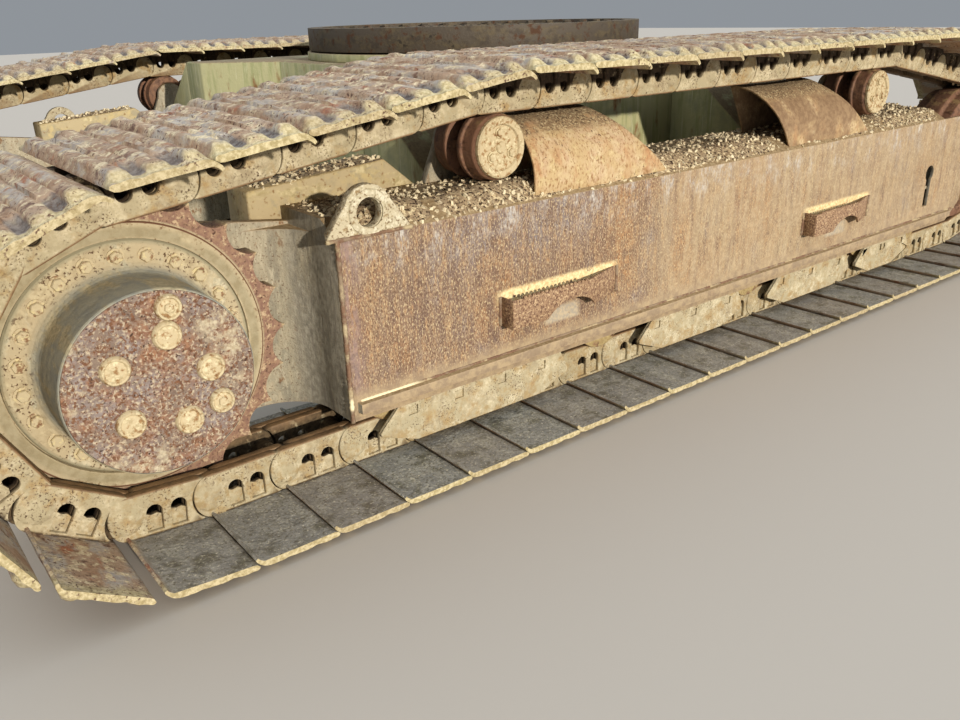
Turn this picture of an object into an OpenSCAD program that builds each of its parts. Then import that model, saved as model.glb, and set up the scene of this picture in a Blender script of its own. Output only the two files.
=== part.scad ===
// Undercarriage of a crawler excavator: two track units, the car body that joins
// them and the slewing ring that the upper works turn on.
// Millimetres. +X is forward, to the idlers, +Y is left and +Z is up. The origin
// is on the ground, under the middle of the tracks.
// A track unit is drawn once, for the right side: x runs from the sprocket's axis,
// y from the middle of the chain with its outboard side negative, z from the ground.

/* [Chain and shoes] */
// Distance between two pins of the chain
pitch = 216; // [200:1:228]
// Links, and shoes, in each track
links = 51; // [49:1:53]
// Links in the run that climbs from the sprocket
rise_links = 5; // [4:1:6]
// Links in the level run over the carrier rollers
level_links = 11; // [10:1:12]
// Angle of the climbing run, degrees
rise_angle = 8; // [6:0.5:9]
// Height of a link's rail above its pins
rail_h = 62; // [56:1:68]
// Distance from the pins to the shoe
link_low = 62; // [56:1:68]
// Width of one rail of a link
rail_w = 48; // [40:1:52]
// Clear width between the two rails
rail_gap = 104; // [96:1:112]
// Width of a shoe
shoe_w = 750; // [600:10:800]
// Thickness of a shoe's plate
shoe_t = 13; // [10:1:18]
// Height of the three bars on a shoe
bar_h = 30; // [22:1:36]
// Width of a bar at its foot
bar_foot = 36; // [28:1:44]

/* [Sprocket and final drive] */
// Teeth of the sprocket, of which every second one meets a pin
teeth = 23; // [23:2:25]
// Width of a tooth across the chain
tooth_w = 70; // [60:1:80]
// Height of a worn tooth above the pin circle
tooth_top = 1; // [0:1:4]
// Depth of the hollow between two teeth below the pin circle
tooth_root = 35; // [33:1:38]
// Radius of the hollow between two teeth
tooth_hollow = 61; // [58:1:66]
// Angle by which wear has turned the teeth on from the bolts, degrees
tooth_wear = 2.4; // [0:0.1:3]
// Radius of the raised rim of the sprocket's web
rim_r = 335; // [325:1:345]
// Radius of the drive's bolted flange
flange_r = 290; // [280:1:300]
// Radius of the circle of flange bolts
flange_bolt_r = 256; // [250:1:262]
// Radius of the hub drum
drum_r = 221; // [205:1:228]
// Distance from the chain's middle to the hub's face
drum_out = 239; // [200:1:260]
// Radius of the circle of planet pin caps
planet_r = 113; // [104:1:120]
// Planet pin caps on the hub's face
planets = 5; // [3:1:6]
// Radius of a planet pin cap
cap_r = 33; // [28:1:36]
// Radius of the travel motor
motor_r = 150; // [120:1:165]
// Length of the travel motor inboard of its plate
motor_l = 255; // [200:1:300]

/* [Idler and rollers] */
// Radius of the idler's tread
idler_r = 320; // [300:1:335]
// Radius of a track roller's tread
roller_r = 100; // [90:1:105]
// Track rollers on each side
rollers = 8; // [7:1:9]
// Radius of a carrier roller's tread
carrier_r = 97; // [88:1:105]
// Distance from the rear bend of the top run to the rear carrier roller
carrier_rear = 97; // [60:1:140]
// Distance from the front carrier roller to the front bend of the top run
carrier_front = 139; // [100:1:180]

/* [Side frame] */
// Distance from the chain's middle to the frame's outer face
frame_half = 155; // [150:1:175]
// Distance from the sprocket's axis to the frame's rear plate
frame_rear = 516; // [512:1:540]
// Distance from the idler's centre flange to the frame's front plate
idler_room = 80; // [60:1:110]
// Height of the outer plate's lower edge above the ground
frame_low = 205; // [195:1:225]
// Height of the outer plate's upper edge above the ground
frame_top = 727; // [700:1:735]
// Height of the roof's ridge above the plate's upper edge
roof_h = 46; // [30:1:56]
// Thickness of the frame's plates
plate = 14; // [10:1:18]
// Width of the flange along the outer plate's foot
foot_flange = 24; // [16:1:30]
// Thickness of the plate that carries the travel motor
motor_plate = 36; // [30:1:40]
// Gauge, from one chain's middle to the other's
gauge = 2750; // [2650:10:2900]

/* [Covers and fittings] */
// Bore of a lifting lug
lug_bore = 78; // [60:1:84]
// Thickness of a lifting lug
lug_t = 30; // [24:1:34]
// Thickness of the sheet of covers and steps
sheet = 8; // [6:1:10]
// Length of the rear mud cover at its foot
cover_rear_l = 626; // [600:1:650]
// Length of the front mud cover at its foot
cover_front_l = 603; // [580:1:630]
// How far the covers' front ends slant back, in degrees from upright
cover_slant = 49; // [40:1:52]
// Distance from the frame's rear plate to the rear step
step_rear_x = 543; // [510:1:570]
// Distance from the frame's rear plate to the front step
step_front_x = 2181; // [2150:1:2210]
// Length of a step
step_l = 511; // [480:1:540]
// Length of the slanted part of a step, at its front end
step_slant = 184; // [150:1:210]
// Depth of a step in front of the side plate
step_depth = 61; // [45:1:70]
// Height of a step
step_h = 93; // [84:1:104]
// Length of the hose cover beside the frame's rear end
hose_l = 580; // [540:5:620]
// Width of the hose cover
hose_w = 140; // [120:1:150]
// Height of the hose cover
hose_h = 162; // [140:1:170]

/* [Car body] */
// Distance from the ring's axis to a leg's middle, along the machine
leg_x = 825; // [800:5:850]
// Width of a leg along the machine
leg_w = 600; // [560:5:640]
// Distance by which the middle box reaches past the ring's seat
box_edge = 2; // [0:1:20]
// Height of the car body's underside above the ground
belly = 500; // [470:1:520]
// Height of the car body's top plate above the ground
deck = 1076; // [1060:1:1090]
// Height of a leg's top where it meets the side frame
leg_top = 740; // [720:1:745]
// Thickness of the car body's plates
body_plate = 20; // [14:1:25]

/* [Slewing ring] */
// Radius of the tips of the inner teeth
gear_r = 625; // [615:1:635]
// Distance from the tips of the inner teeth to the gap between the two races
inner_wall = 90; // [80:1:100]
// Distance from the gap between the two races to the ring's outside
outer_wall = 65; // [55:1:75]
// Height of the ring
ring_h = 96; // [80:1:110]
// Teeth of the ring's inner gear
gear_teeth = 90; // [80:1:100]
// Holes in the ring's upper face
ring_holes = 36; // [24:2:40]
// Diameter of a hole in the ring's upper face
ring_hole_d = 33; // [26:1:36]

/* [Hidden] */

// Running gap between pieces that seat on each other
fit = 0.3;
fine = 96;
coarse = 48;

// Chain: pins stand on the sprocket's and the idler's pin circles and on straight
// runs between them, and the wheelbase is what the number of links leaves
pin_h = link_low + shoe_t + bar_h;
sprocket_step = 720 / teeth;
pin_r = pitch / 2 / sin(sprocket_step / 2);
idler_pin_r = sqrt(pow(idler_r + rail_h + fit, 2) + pow(pitch / 2, 2));
idler_step = 2 * asin(pitch / 2 / idler_pin_r);

function heading(a) = [cos(a), sin(a)];

rise_start = [0, pin_r] + pin_r * heading(90 + rise_angle);
kink_rear = rise_start + rise_links * pitch * heading(rise_angle);
kink_front = kink_rear + [level_links * pitch, 0];

// Length and fall of the run from the front bend down to the idler
function to_idler(base) = norm([base, idler_pin_r] - kink_front);
function fall_length(base) = sqrt(pow(to_idler(base), 2) - pow(idler_pin_r, 2));
function fall_angle(base) =
    atan2(kink_front.y - idler_pin_r, base - kink_front.x)
    - asin(idler_pin_r / to_idler(base));
function loop_links(base) =
    rise_links + level_links + fall_length(base) / pitch
    + (180 - fall_angle(base)) / idler_step + base / pitch
    + (180 - rise_angle) / sprocket_step;
function solved_base(base, rounds) =
    rounds == 0 ? base
    : solved_base(base + (links - loop_links(base)) * pitch / 2, rounds - 1);

wheelbase = solved_base(links * pitch * 0.39, 12);
fall = fall_angle(wheelbase);
t_rise = rise_links;
t_level = t_rise + level_links;
t_fall = t_level + fall_length(wheelbase) / pitch;
t_idler = t_fall + (180 - fall) / idler_step;
t_ground = t_idler + wheelbase / pitch;

function path(t) =
      t < t_rise ? rise_start + t * pitch * heading(rise_angle)
    : t < t_level ? kink_rear + (t - t_rise) * pitch * [1, 0]
    : t < t_fall ? kink_front + (t - t_level) * pitch * heading(-fall)
    : t < t_idler ? [wheelbase, idler_pin_r]
        + idler_pin_r * heading(90 - fall - (t - t_fall) * idler_step)
    : t < t_ground ? [wheelbase - (t - t_idler) * pitch, 0]
    : [0, pin_r] + pin_r * heading(270 - (t - t_ground) * sprocket_step);

pins = [for (i = [0 : links - 1]) path(i) + [0, pin_h]];

// One link's start, end, direction and outward normal
function pin(i) = pins[(i + links) % links];
function along(i) = (pin(i + 1) - pin(i)) / norm(pin(i + 1) - pin(i));
function outward(i) = [-along(i).y, along(i).x];
// The corner that two neighbouring links share, at a height above the pins
function corner(i, h) =
    let (m = outward(i - 1) + outward(i))
    pin(i) + m * h / (m * outward(i));
// A point of a shoe, at a share of the link's length and a height above the pins
function on_shoe(i, share, h) = pin(i) + along(i) * share * norm(pin(i + 1) - pin(i))
    + outward(i) * h;

shoe_face = link_low + shoe_t;
bar_tip = shoe_face + bar_h;
bar_places = [0.13, 0.5, 0.87];
foot_share = bar_foot / 2 / pitch;
shoe_outline = [
    for (i = [0 : links - 1]) for (b = bar_places) each [
        on_shoe(i, b - foot_share, shoe_face),
        on_shoe(i, b, bar_tip),
        on_shoe(i, b + foot_share, shoe_face)
    ]
];
shoe_bed = [for (i = [0 : links - 1]) corner(i, link_low)];
rail_bed = [for (i = [0 : links - 1]) corner(i, link_low + shoe_t / 2)];
rail_edge = [for (i = [0 : links - 1]) corner(i, -rail_h)];

// The machine's middle lies under the middle of the tracks
reach = [for (p = shoe_outline) p.x];
mid_x = (max(reach) + min(reach)) / 2;
side_y = gauge / 2;

// Axes
sprocket_z = pin_h + pin_r;
idler_z = pin_h + idler_pin_r;
roller_z = pin_h + rail_h + fit + roller_r;
carrier_z = pin_h + kink_rear.y - rail_h - fit - carrier_r;
carrier_places = [kink_rear.x + carrier_rear, kink_front.x - carrier_front];

// Rollers: each has two treads, and rims beside the rails
rail_in = rail_gap / 2;
rail_out = rail_in + rail_w;
roller_rim = 15;
rim_gap = 4;
idler_flange = 20;
frame_front = idler_r + idler_flange + idler_room;
roller_first = frame_rear + 165;
roller_last = wheelbase - frame_front - 130;
roller_step = (roller_last - roller_first) / (rollers - 1);
roller_places = [for (i = [0 : rollers - 1]) roller_first + i * roller_step];

// Side frame
wall_in = frame_half - plate;
roller_deck = roller_z + roller_r + roller_rim + 16;
roof_flat = 75;
frame_end = wheelbase - frame_front;
cheek_end = wheelbase - 110;
flange_low = 233;
flange_top = 262;
motor_y = frame_half - motor_plate;
mount_r = 300;
mount_bore = 205;
ridge = frame_top + roof_h;
roof_slope = roof_h / (frame_half - roof_flat);

// Car body and ring
ring_x = carrier_places[0] + carrier_places[1];
centre_x = ring_x / 2 - mid_x;
frame_face = side_y - frame_half;
race_r = gear_r + inner_wall;
ring_r = race_r + outer_wall;
seat_r = ring_r + 10;
box_half = seat_r + box_edge;
seat_low = deck;
seat_h = 34;
ring_low = seat_low + seat_h;
race_gap = 6;

// Places a track unit's piece on the right or the left side
module on_side(side) {
    mirror([0, side == "left" ? 1 : 0, 0])
        translate([-mid_x, -side_y, 0])
            children();
}

// A profile in x and z, extruded across from y = a to y = b
module across(a, b) {
    translate([0, b, 0])
        rotate([90, 0, 0])
            linear_extrude(b - a)
                children();
}

// A profile in y and z, extruded along from x = a to x = b
module lengthwise(a, b) {
    translate([a, 0, 0])
        rotate([90, 0, 90])
            linear_extrude(b - a)
                children();
}

// A profile of radius and y, turned about an axis across the machine. Its second
// coordinate is the distance outboard of the chain's middle.
module turned(x, z, faces = fine) {
    translate([x, 0, z])
        rotate([90, 0, 0])
            rotate_extrude($fn = faces)
                children();
}

// Shoes with their bars, and the two rails of the chain, as one closed loop
module track(side) color("#7d7464") on_side(side) {
    across(-shoe_w / 2, shoe_w / 2)
        difference() {
            polygon(shoe_outline);
            polygon(shoe_bed);
        }
    for (y = [-rail_out, rail_in])
        across(y, y + rail_w)
            difference() {
                polygon(rail_bed);
                polygon(rail_edge);
            }
}

// Toothed ring with a dished web. Round hollows between the teeth have worn them to
// cusps.
web_out = 20;
web_in = 22;
rim_in = flange_r + 6;
rim_y = tooth_w / 2 + 5;
tooth_step = 360 / teeth;
bolt_first = 90 + rise_angle + tooth_step / 2;
hollow_first = bolt_first + tooth_wear + tooth_step / 2;
module sprocket(side) color("#6f4f3a") on_side(side) {
    translate([0, 0, sprocket_z])
        across(-tooth_w / 2, tooth_w / 2)
            difference() {
                circle(r = pin_r + tooth_top, $fn = fine);
                for (i = [0 : teeth - 1])
                    translate((pin_r - tooth_root + tooth_hollow)
                              * heading(hollow_first + i * tooth_step))
                        circle(r = tooth_hollow, $fn = coarse);
                circle(r = rim_r - 10, $fn = fine);
            }
    turned(0, sprocket_z)
        polygon([
            [mount_bore + 5, -web_in], [mount_bore + 5, web_out], [rim_in, web_out],
            [rim_in, rim_y], [rim_r, rim_y], [rim_r, -rim_y], [rim_in, -rim_y],
            [rim_in, -web_in]
        ]);
}

// Hub drum on its bolted flange, with the caps of the planet pins on its face
cap_h = 7;
flange_y = 44;
head_h = 8;
hub_edge = 4;
module final_drive(side) color("#8a6b4a") on_side(side) {
    turned(0, sprocket_z)
        polygon([
            [0, web_out + fit], [flange_r, web_out + fit], [flange_r, flange_y],
            [drum_r + 22, flange_y], [drum_r + 8, flange_y + 12], [drum_r, flange_y + 32],
            [drum_r, drum_out - hub_edge], [drum_r - hub_edge, drum_out], [0, drum_out]
        ]);
    translate([0, 0, sprocket_z])
        across(-flange_y - head_h, -flange_y + 1)
            for (i = [0 : teeth - 1])
                translate(flange_bolt_r * heading(bolt_first + i * tooth_step))
                    circle(r = 14, $fn = 6);
    translate([0, 0, sprocket_z])
        across(-drum_out - cap_h, -drum_out + 1)
            for (i = [0 : planets - 1])
                translate(planet_r * heading(5 + i * 360 / planets))
                    circle(r = cap_r, $fn = coarse);
}

// Inner housing of the drive, its mounting flange, the motor and its port block
module travel_motor(side) color("#4f4b42") on_side(side) {
    turned(0, sprocket_z)
        polygon([
            [0, web_out], [mount_bore, web_out], [mount_bore, -motor_y + 34],
            [mount_bore + 42, -motor_y + 26], [mount_bore + 42, -motor_y + fit],
            [mount_bore, -motor_y + fit], [mount_bore, -frame_half - 8],
            [motor_r + 25, -frame_half - 8], [motor_r + 25, -frame_half - 40],
            [motor_r, -frame_half - 52], [motor_r, -frame_half - motor_l + 75],
            [motor_r - 35, -frame_half - motor_l], [0, -frame_half - motor_l]
        ]);
}

// Everything under the frame's roof, which cuts the feet of what stands on it
module under_roof(a, b) {
    lengthwise(a, b)
        polygon([
            [-2 * frame_half, 0], [-2 * frame_half, frame_top - frame_half * roof_slope],
            [-roof_flat, ridge], [2 * frame_half, ridge], [2 * frame_half, 0]
        ]);
}

// Welded box beam with a roof that slopes outboard, cheeks that guide the idler
// and the round plate that carries the travel motor
module frame_section() {
    difference() {
        polygon([
            [-frame_half, frame_low], [-frame_half, frame_top], [-roof_flat, ridge],
            [frame_half, ridge], [frame_half, frame_low], [wall_in, frame_low],
            [wall_in, roller_deck], [-wall_in, roller_deck], [-wall_in, frame_low]
        ]);
        polygon([
            [-wall_in, roller_deck + plate], [-wall_in, frame_top - plate / 2],
            [-roof_flat, ridge - plate], [wall_in, ridge - plate],
            [wall_in, roller_deck + plate]
        ]);
    }
}
module side_frame(side) color("#8d7350") on_side(side) {
    difference() {
        union() {
            lengthwise(frame_rear, frame_end)
                frame_section();
            // Rear and front plates close the box
            for (x = [frame_rear, frame_end - plate])
                lengthwise(x, x + plate)
                    polygon([
                        [-frame_half, roller_deck], [-frame_half, frame_top],
                        [-roof_flat, ridge], [frame_half, ridge],
                        [frame_half, roller_deck]
                    ]);
            lengthwise(frame_rear, frame_rear + plate)
                translate([-frame_half, frame_low])
                    square([2 * frame_half, roller_deck - frame_low + 5]);
            // Cheeks beside the idler
            for (y = [-frame_half, wall_in])
                across(y, y + plate)
                    polygon([
                        [frame_end - 1, frame_low], [cheek_end - 120, frame_low],
                        [cheek_end, frame_low + 90], [cheek_end, frame_top - 150],
                        [cheek_end - 150, frame_top], [frame_end - 1, frame_top]
                    ]);
            // Flange along the foot of the outer plate
            translate([frame_rear + 20, -frame_half - foot_flange, flange_low])
                cube([cheek_end - 150 - frame_rear, foot_flange + 1,
                      flange_top - flange_low]);
            // Rounded corner between the rear plate and the motor's plate
            translate([frame_rear - corner_r, motor_y - corner_r, frame_low])
                linear_extrude(frame_top - frame_low)
                    difference() {
                        square(corner_r + 1);
                        circle(r = corner_r, $fn = fine);
                    }
            // Plate that carries the motor, tangent to its round seat
            across(motor_y, motor_y + motor_plate)
                difference() {
                    union() {
                        translate([0, sprocket_z])
                            circle(r = mount_r, $fn = fine);
                        polygon([
                            [0, sprocket_z - mount_r], [frame_rear + 60, frame_low],
                            [frame_rear + 60, frame_top], [0, sprocket_z + mount_r]
                        ]);
                    }
                    translate([0, sprocket_z])
                        circle(r = mount_bore + fit, $fn = fine);
                }
        }
        // Access slot near the front
        across(-frame_half - 1, -wall_in + 1)
            translate([slot_x, slot_z])
                union() {
                    circle(r = slot_r, $fn = coarse);
                    translate([-slot_r * 0.6, -slot_l])
                        square([slot_r * 1.2, slot_l]);
                }
    }
}
corner_r = 150;
slot_x = frame_end - 66;
slot_z = 478;
slot_r = 38;
slot_l = 160;

// Idler: two treads beside a centre flange, dished webs, hub and shaft
shaft_r = 46;
module idler(side) color("#5f4c3b") on_side(side)
    turned(wheelbase, idler_z)
        polygon([
            [0, -wall_in + fit], [shaft_r, -wall_in + fit], [shaft_r, -104],
            [92, -104], [92, -44],
            [idler_r - 60, -44], [idler_r - 46, -rail_out + 2], [idler_r, -rail_out + 2],
            [idler_r, -rail_in], [idler_r + idler_flange, -rail_in + 10],
            [idler_r + idler_flange, rail_in - 10], [idler_r, rail_in],
            [idler_r, rail_out - 2], [idler_r - 46, rail_out - 2], [idler_r - 60, 44],
            [92, 44], [92, 104], [shaft_r, 104], [shaft_r, wall_in - fit],
            [0, wall_in - fit]
        ]);

// Fork that holds the idler's shaft, with the head of its spring rod behind
yoke_t = 26;
yoke_h = 92;
yoke_gap = 12;
yoke_back = frame_end + yoke_gap;
yoke_bridge = 44;
module idler_yoke(side) color("#6b5a41") on_side(side) {
    for (y = [-1, 1])
        across(min(y * (wall_in - fit), y * (wall_in - fit - yoke_t)),
               max(y * (wall_in - fit), y * (wall_in - fit - yoke_t)))
            difference() {
                union() {
                    translate([yoke_back, idler_z - yoke_h / 2])
                        square([wheelbase - yoke_back, yoke_h]);
                    translate([wheelbase, idler_z])
                        circle(r = shaft_r + 30, $fn = coarse);
                }
                translate([wheelbase, idler_z])
                    circle(r = shaft_r + fit, $fn = coarse);
            }
    translate([yoke_back, -wall_in + fit + yoke_t - 1, idler_z - yoke_h / 2])
        cube([yoke_bridge, 2 * (wall_in - fit - yoke_t) + 2, yoke_h]);
    translate([frame_end + fit, 0, idler_z])
        rotate([0, 90, 0])
            cylinder(r = 48, h = yoke_gap + 2, $fn = coarse);
}

// Track rollers, one solid each, on shafts that end at the frame's walls
module track_rollers(side) color("#6a4a33") on_side(side)
    for (x = roller_places)
        turned(x, roller_z, coarse)
            polygon([
                [0, -wall_in + fit], [36, -wall_in + fit], [36, -rail_out - 26],
                [74, -rail_out - 22], [roller_r + roller_rim, -rail_out - rim_gap - 12],
                [roller_r + roller_rim, -rail_out - rim_gap], [roller_r, -rail_out],
                [roller_r, -rail_in], [84, -rail_in + 10], [84, rail_in - 10],
                [roller_r, rail_in], [roller_r, rail_out],
                [roller_r + roller_rim, rail_out + rim_gap],
                [roller_r + roller_rim, rail_out + rim_gap + 12], [74, rail_out + 22],
                [36, rail_out + 26], [36, wall_in - fit], [0, wall_in - fit]
            ]);

// Guards that keep the chain under the rollers: boat-shaped plates, widest at their
// shoulders. Start and end are in roller spacings from the first roller.
guard_spans = [for (g = [[-0.19, 1.55], [2.37, 3.80], [4.19, 5.66], [5.78, 6.90]])
    g * roller_step + [roller_first, roller_first]];
guard_low = 78;
guard_shoulder = 136;
guard_t = 16;
guard_taper = 130;
module roller_guards(side) color("#9a8a62") on_side(side)
    for (g = guard_spans, y = [-frame_half, frame_half - guard_t])
        across(y, y + guard_t)
            polygon([
                [g[0] + 70, frame_low], [g[0], guard_shoulder],
                [g[0] + guard_taper, guard_low], [g[1] - guard_taper, guard_low],
                [g[1], guard_shoulder], [g[1] - 35, frame_low]
            ]);

// Carrier rollers: two treads, guides that run between the rails with a deep groove
// between them, and a cap on the outer end
carrier_seat = 120;
guide_r = carrier_r + 8;
guide_in = 28;
guide_out = rail_in - 5;
groove_r = carrier_r - 40;
module carrier_rollers(side) color("#6d452b") on_side(side)
    for (x = carrier_places)
        turned(x, carrier_z, coarse)
            polygon([
                [0, -carrier_seat + fit], [40, -carrier_seat + fit], [40, -rail_out - 2],
                [carrier_r, -rail_out + 4], [carrier_r, -guide_out],
                [guide_r, -guide_out + 3], [guide_r, -guide_in], [groove_r, -guide_in + 6],
                [groove_r, guide_in - 6], [guide_r, guide_in], [guide_r, guide_out - 3],
                [carrier_r, guide_out], [carrier_r, rail_out - 10], [carrier_r - 9, rail_out],
                [carrier_r - 9, rail_out + 6], [0, rail_out + 6]
            ]);

// Brackets that hold the carrier rollers' shafts, inboard on the frame's roof
bracket_t = 30;
bracket_foot = 240;
module carrier_brackets(side) color("#8f8358") on_side(side)
    for (x = carrier_places)
        across(carrier_seat, carrier_seat + bracket_t)
            translate([x, 0])
                union() {
                    translate([0, carrier_z])
                        circle(r = 66, $fn = coarse);
                    polygon([
                        [-bracket_foot / 2, ridge], [bracket_foot / 2, ridge],
                        [66, carrier_z], [-66, carrier_z]
                    ]);
                }

// Rounded sheets that shed mud from the roof between the carrier rollers, cut on a
// slant at their front ends. Start and end are at the foot, and the rear end leans
// back by so many degrees.
cover_rear_gap = 5;
cover_front_room = 78;
cover_lean = 28;
cover_spans = [
    let (x = carrier_places[0] + guide_r + cover_rear_gap) [x, x + cover_rear_l, 0],
    let (x = carrier_places[1] - cover_front_room) [x - cover_front_l, x, cover_lean]
];
cover_out = -138;
cover_r = 190;
cover_z = ridge + 4;
cover_lip = 22;
cover_top = cover_z + cover_r;
cover_rise = cover_top - frame_top;
function cover_back(s) = s[0] - cover_rise * tan(s[2]);
module mud_covers(side) color("#a8622f") on_side(side)
    for (s = cover_spans)
        difference() {
            lengthwise(cover_back(s), s[1])
                union() {
                    translate([cover_out + cover_r, cover_z])
                        intersection() {
                            difference() {
                                circle(r = cover_r, $fn = fine);
                                circle(r = cover_r - sheet, $fn = fine);
                            }
                            translate([-cover_r, 0])
                                square([cover_r + cover_lip, cover_r]);
                        }
                    translate([cover_out, frame_top])
                        square([sheet, cover_z - frame_top]);
                    translate([cover_out + cover_r + cover_lip - sheet, frame_top])
                        square([sheet, cover_top - sheet - frame_top]);
                }
            under_roof(cover_back(s) - 1, s[1] + 1);
            across(cover_out - 1, cover_out + 2 * cover_r)
                polygon([
                    [s[1], frame_top], [s[1] + 1, frame_top], [s[1] + 1, cover_top + 1],
                    [s[1] - cover_rise * tan(cover_slant), cover_top + 1]
                ]);
            if (s[2] > 0)
                across(cover_out - 1, cover_out + 2 * cover_r)
                    polygon([
                        [s[0], frame_top], [cover_back(s), cover_top + 1],
                        [cover_back(s) - 1, cover_top + 1], [cover_back(s) - 1, frame_top]
                    ]);
        }

// Box that covers the hoses from the car body to the travel motor
hose_past = 96;
hose_slant = 130;
hose_start = frame_rear - hose_past;
hose_end = hose_start + hose_l;
hose_low = frame_top - 27;
module hose_cover(side) color("#a39a5e") on_side(side)
    across(frame_half, frame_half + hose_w)
        polygon([
            [hose_start, hose_low], [hose_end, hose_low], [hose_end, hose_low + 50],
            [hose_end - hose_slant, hose_low + hose_h],
            [hose_start, hose_low + hose_h - 40]
        ]);

// Two steps on the outer plate, each a strap of sheet: its rear end is bent square
// to the plate, its front end slants back to it, and an arch is cut from its foot
step_starts = [frame_rear + step_rear_x, frame_rear + step_front_x];
step_low = 362;
arch_half = 112;
arch_rise = 48;
module steps(side) color("#7a5233") on_side(side)
    for (x = step_starts)
        difference() {
            translate([x, -frame_half, step_low])
                linear_extrude(step_h)
                    polygon([
                        [0, 0], [0, -step_depth], [step_l - step_slant, -step_depth],
                        [step_l, 0], [step_l - sheet * 3, 0],
                        [step_l - step_slant - sheet, sheet - step_depth],
                        [sheet, sheet - step_depth], [sheet, 0]
                    ]);
            translate([x + step_l / 2, 0, step_low])
                across(-frame_half - step_depth - 1, -frame_half - 1)
                    arch(arch_half, arch_rise);
        }

// A low arch: the part of a circle above its chord, in straight stretches
arch_parts = 12;
module arch(half, rise) {
    r = (half * half + rise * rise) / (2 * rise);
    turn = asin(half / r);
    polygon([
        [-half, -1],
        for (i = [0 : arch_parts])
            let (a = 90 + turn * (1 - 2 * i / arch_parts))
            [r * cos(a), rise - r + r * sin(a)],
        [half, -1]
    ]);
}

// Lifting lug on the roof's outer edge, at the rear
lug_x = frame_rear + 102;
lug_y = -frame_half;
lug_hole_z = 786;
lug_r = 74;
lug_half = 134;
module lifting_lugs(side) color("#b9ab85") on_side(side)
    difference() {
        across(lug_y, lug_y + lug_t)
            translate([lug_x, 0])
                difference() {
                    union() {
                        translate([0, lug_hole_z])
                            circle(r = lug_r, $fn = coarse);
                        polygon([
                            [-lug_half, frame_top], [lug_half, frame_top],
                            [52, lug_hole_z + 52], [-52, lug_hole_z + 52]
                        ]);
                    }
                    translate([0, lug_hole_z])
                        circle(d = lug_bore, $fn = coarse);
                }
        under_roof(lug_x - 2 * lug_half, lug_x + 2 * lug_half);
    }

// Middle box of the car body, waisted between the legs, with round openings in
// its deck and its belly
deck_hole = 300;
belly_hole = 260;
body_half_x = leg_x + leg_w / 2;
waist_x = ring_r + 85;
waist_y = 330;
waist_out = 620;
function body_plan(t) = let (x = body_half_x - t, y = box_half - t, w = waist_x - t) [
    [x, y], [x, waist_out], [w, waist_y], [w, -waist_y], [x, -waist_out], [x, -y],
    [-x, -y], [-x, -waist_out], [-w, -waist_y], [-w, waist_y], [-x, waist_out], [-x, y]
];
module car_body() color("#7c7a4a") translate([centre_x, 0, 0])
    difference() {
        translate([0, 0, belly])
            linear_extrude(deck - belly)
                polygon(body_plan(0));
        translate([0, 0, belly + body_plate])
            linear_extrude(deck - belly - 2 * body_plate)
                polygon(body_plan(body_plate));
        translate([0, 0, deck - body_plate - 1])
            cylinder(r = deck_hole, h = body_plate + 2, $fn = fine);
        translate([0, 0, belly - 1])
            cylinder(r = belly_hole, h = body_plate + 2, $fn = fine);
    }

// Hollow legs that slope from the deck down to the side frames
function leg_profile(t) = [
    [-frame_face, belly + t], [-frame_face, leg_top - t], [-box_half, deck - t],
    [-box_half, belly + t]
];
module legs(side) color("#747244")
    mirror([0, side == "left" ? 1 : 0, 0])
        for (s = [-1, 1])
            translate([centre_x + s * leg_x, 0, 0])
                difference() {
                    lengthwise(-leg_w / 2, leg_w / 2)
                        polygon(leg_profile(0));
                    lengthwise(-leg_w / 2 + body_plate, leg_w / 2 - body_plate)
                        intersection() {
                            polygon(leg_profile(body_plate));
                            translate([-frame_face + body_plate, belly])
                                square([frame_face - box_half - 2 * body_plate, deck]);
                        }
                }

// Seat ring on the deck
module ring_seat() color("#6e6c45") translate([centre_x, 0, seat_low])
    difference() {
        cylinder(r = seat_r, h = seat_h, $fn = fine);
        translate([0, 0, -1])
            cylinder(r = gear_r - 20, h = seat_h + 2, $fn = fine);
    }

// Inner race with the ring's inner gear
gear_depth = 20;
rib_h = 24;
module ring_inner_race() color("#5c5348") translate([centre_x, 0, ring_low]) {
    translate([0, 0, (ring_h + race_gap - rib_h) / 2])
        linear_extrude(rib_h)
            difference() {
                circle(r = race_r + race_gap / 2 - fit, $fn = fine);
                circle(r = race_r - race_gap, $fn = fine);
            }
    linear_extrude(ring_h - 10)
        difference() {
            circle(r = race_r - race_gap / 2, $fn = fine);
            polygon([for (i = [0 : gear_teeth - 1], p = [
                    [-0.36, gear_depth], [-0.14, 0], [0.14, 0], [0.36, gear_depth]])
                (gear_r + p.y) * heading((p.x + i) * 360 / gear_teeth)]);
        }
}

// Outer race, which turns, with the holes that the upper works bolt to
ring_bolt_r = (ring_r + race_r) / 2;
module ring_outer_race() color("#66594a") translate([centre_x, 0, ring_low + race_gap])
    difference() {
        cylinder(r = ring_r, h = ring_h, $fn = fine);
        translate([0, 0, -1])
            cylinder(r = race_r + race_gap / 2, h = ring_h + 2, $fn = fine);
        for (i = [0 : ring_holes - 1])
            rotate([0, 0, i * 360 / ring_holes])
                translate([ring_bolt_r, 0, -1])
                    cylinder(d = ring_hole_d, h = ring_h + 2, $fn = 24);
    }

// Rotary joint that passes the oil through the middle of the ring
joint_r = 130;
joint_l = 320;
joint_drop = 220;
joint_plate = 20;
joint_lap = 40;
module rotary_joint() color("#55524a") translate([centre_x, 0, 0]) {
    translate([0, 0, deck + fit])
        cylinder(r = deck_hole + joint_lap, h = joint_plate, $fn = fine);
    translate([0, 0, deck - joint_drop])
        cylinder(r = joint_r, h = joint_l, $fn = coarse);
}

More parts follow.
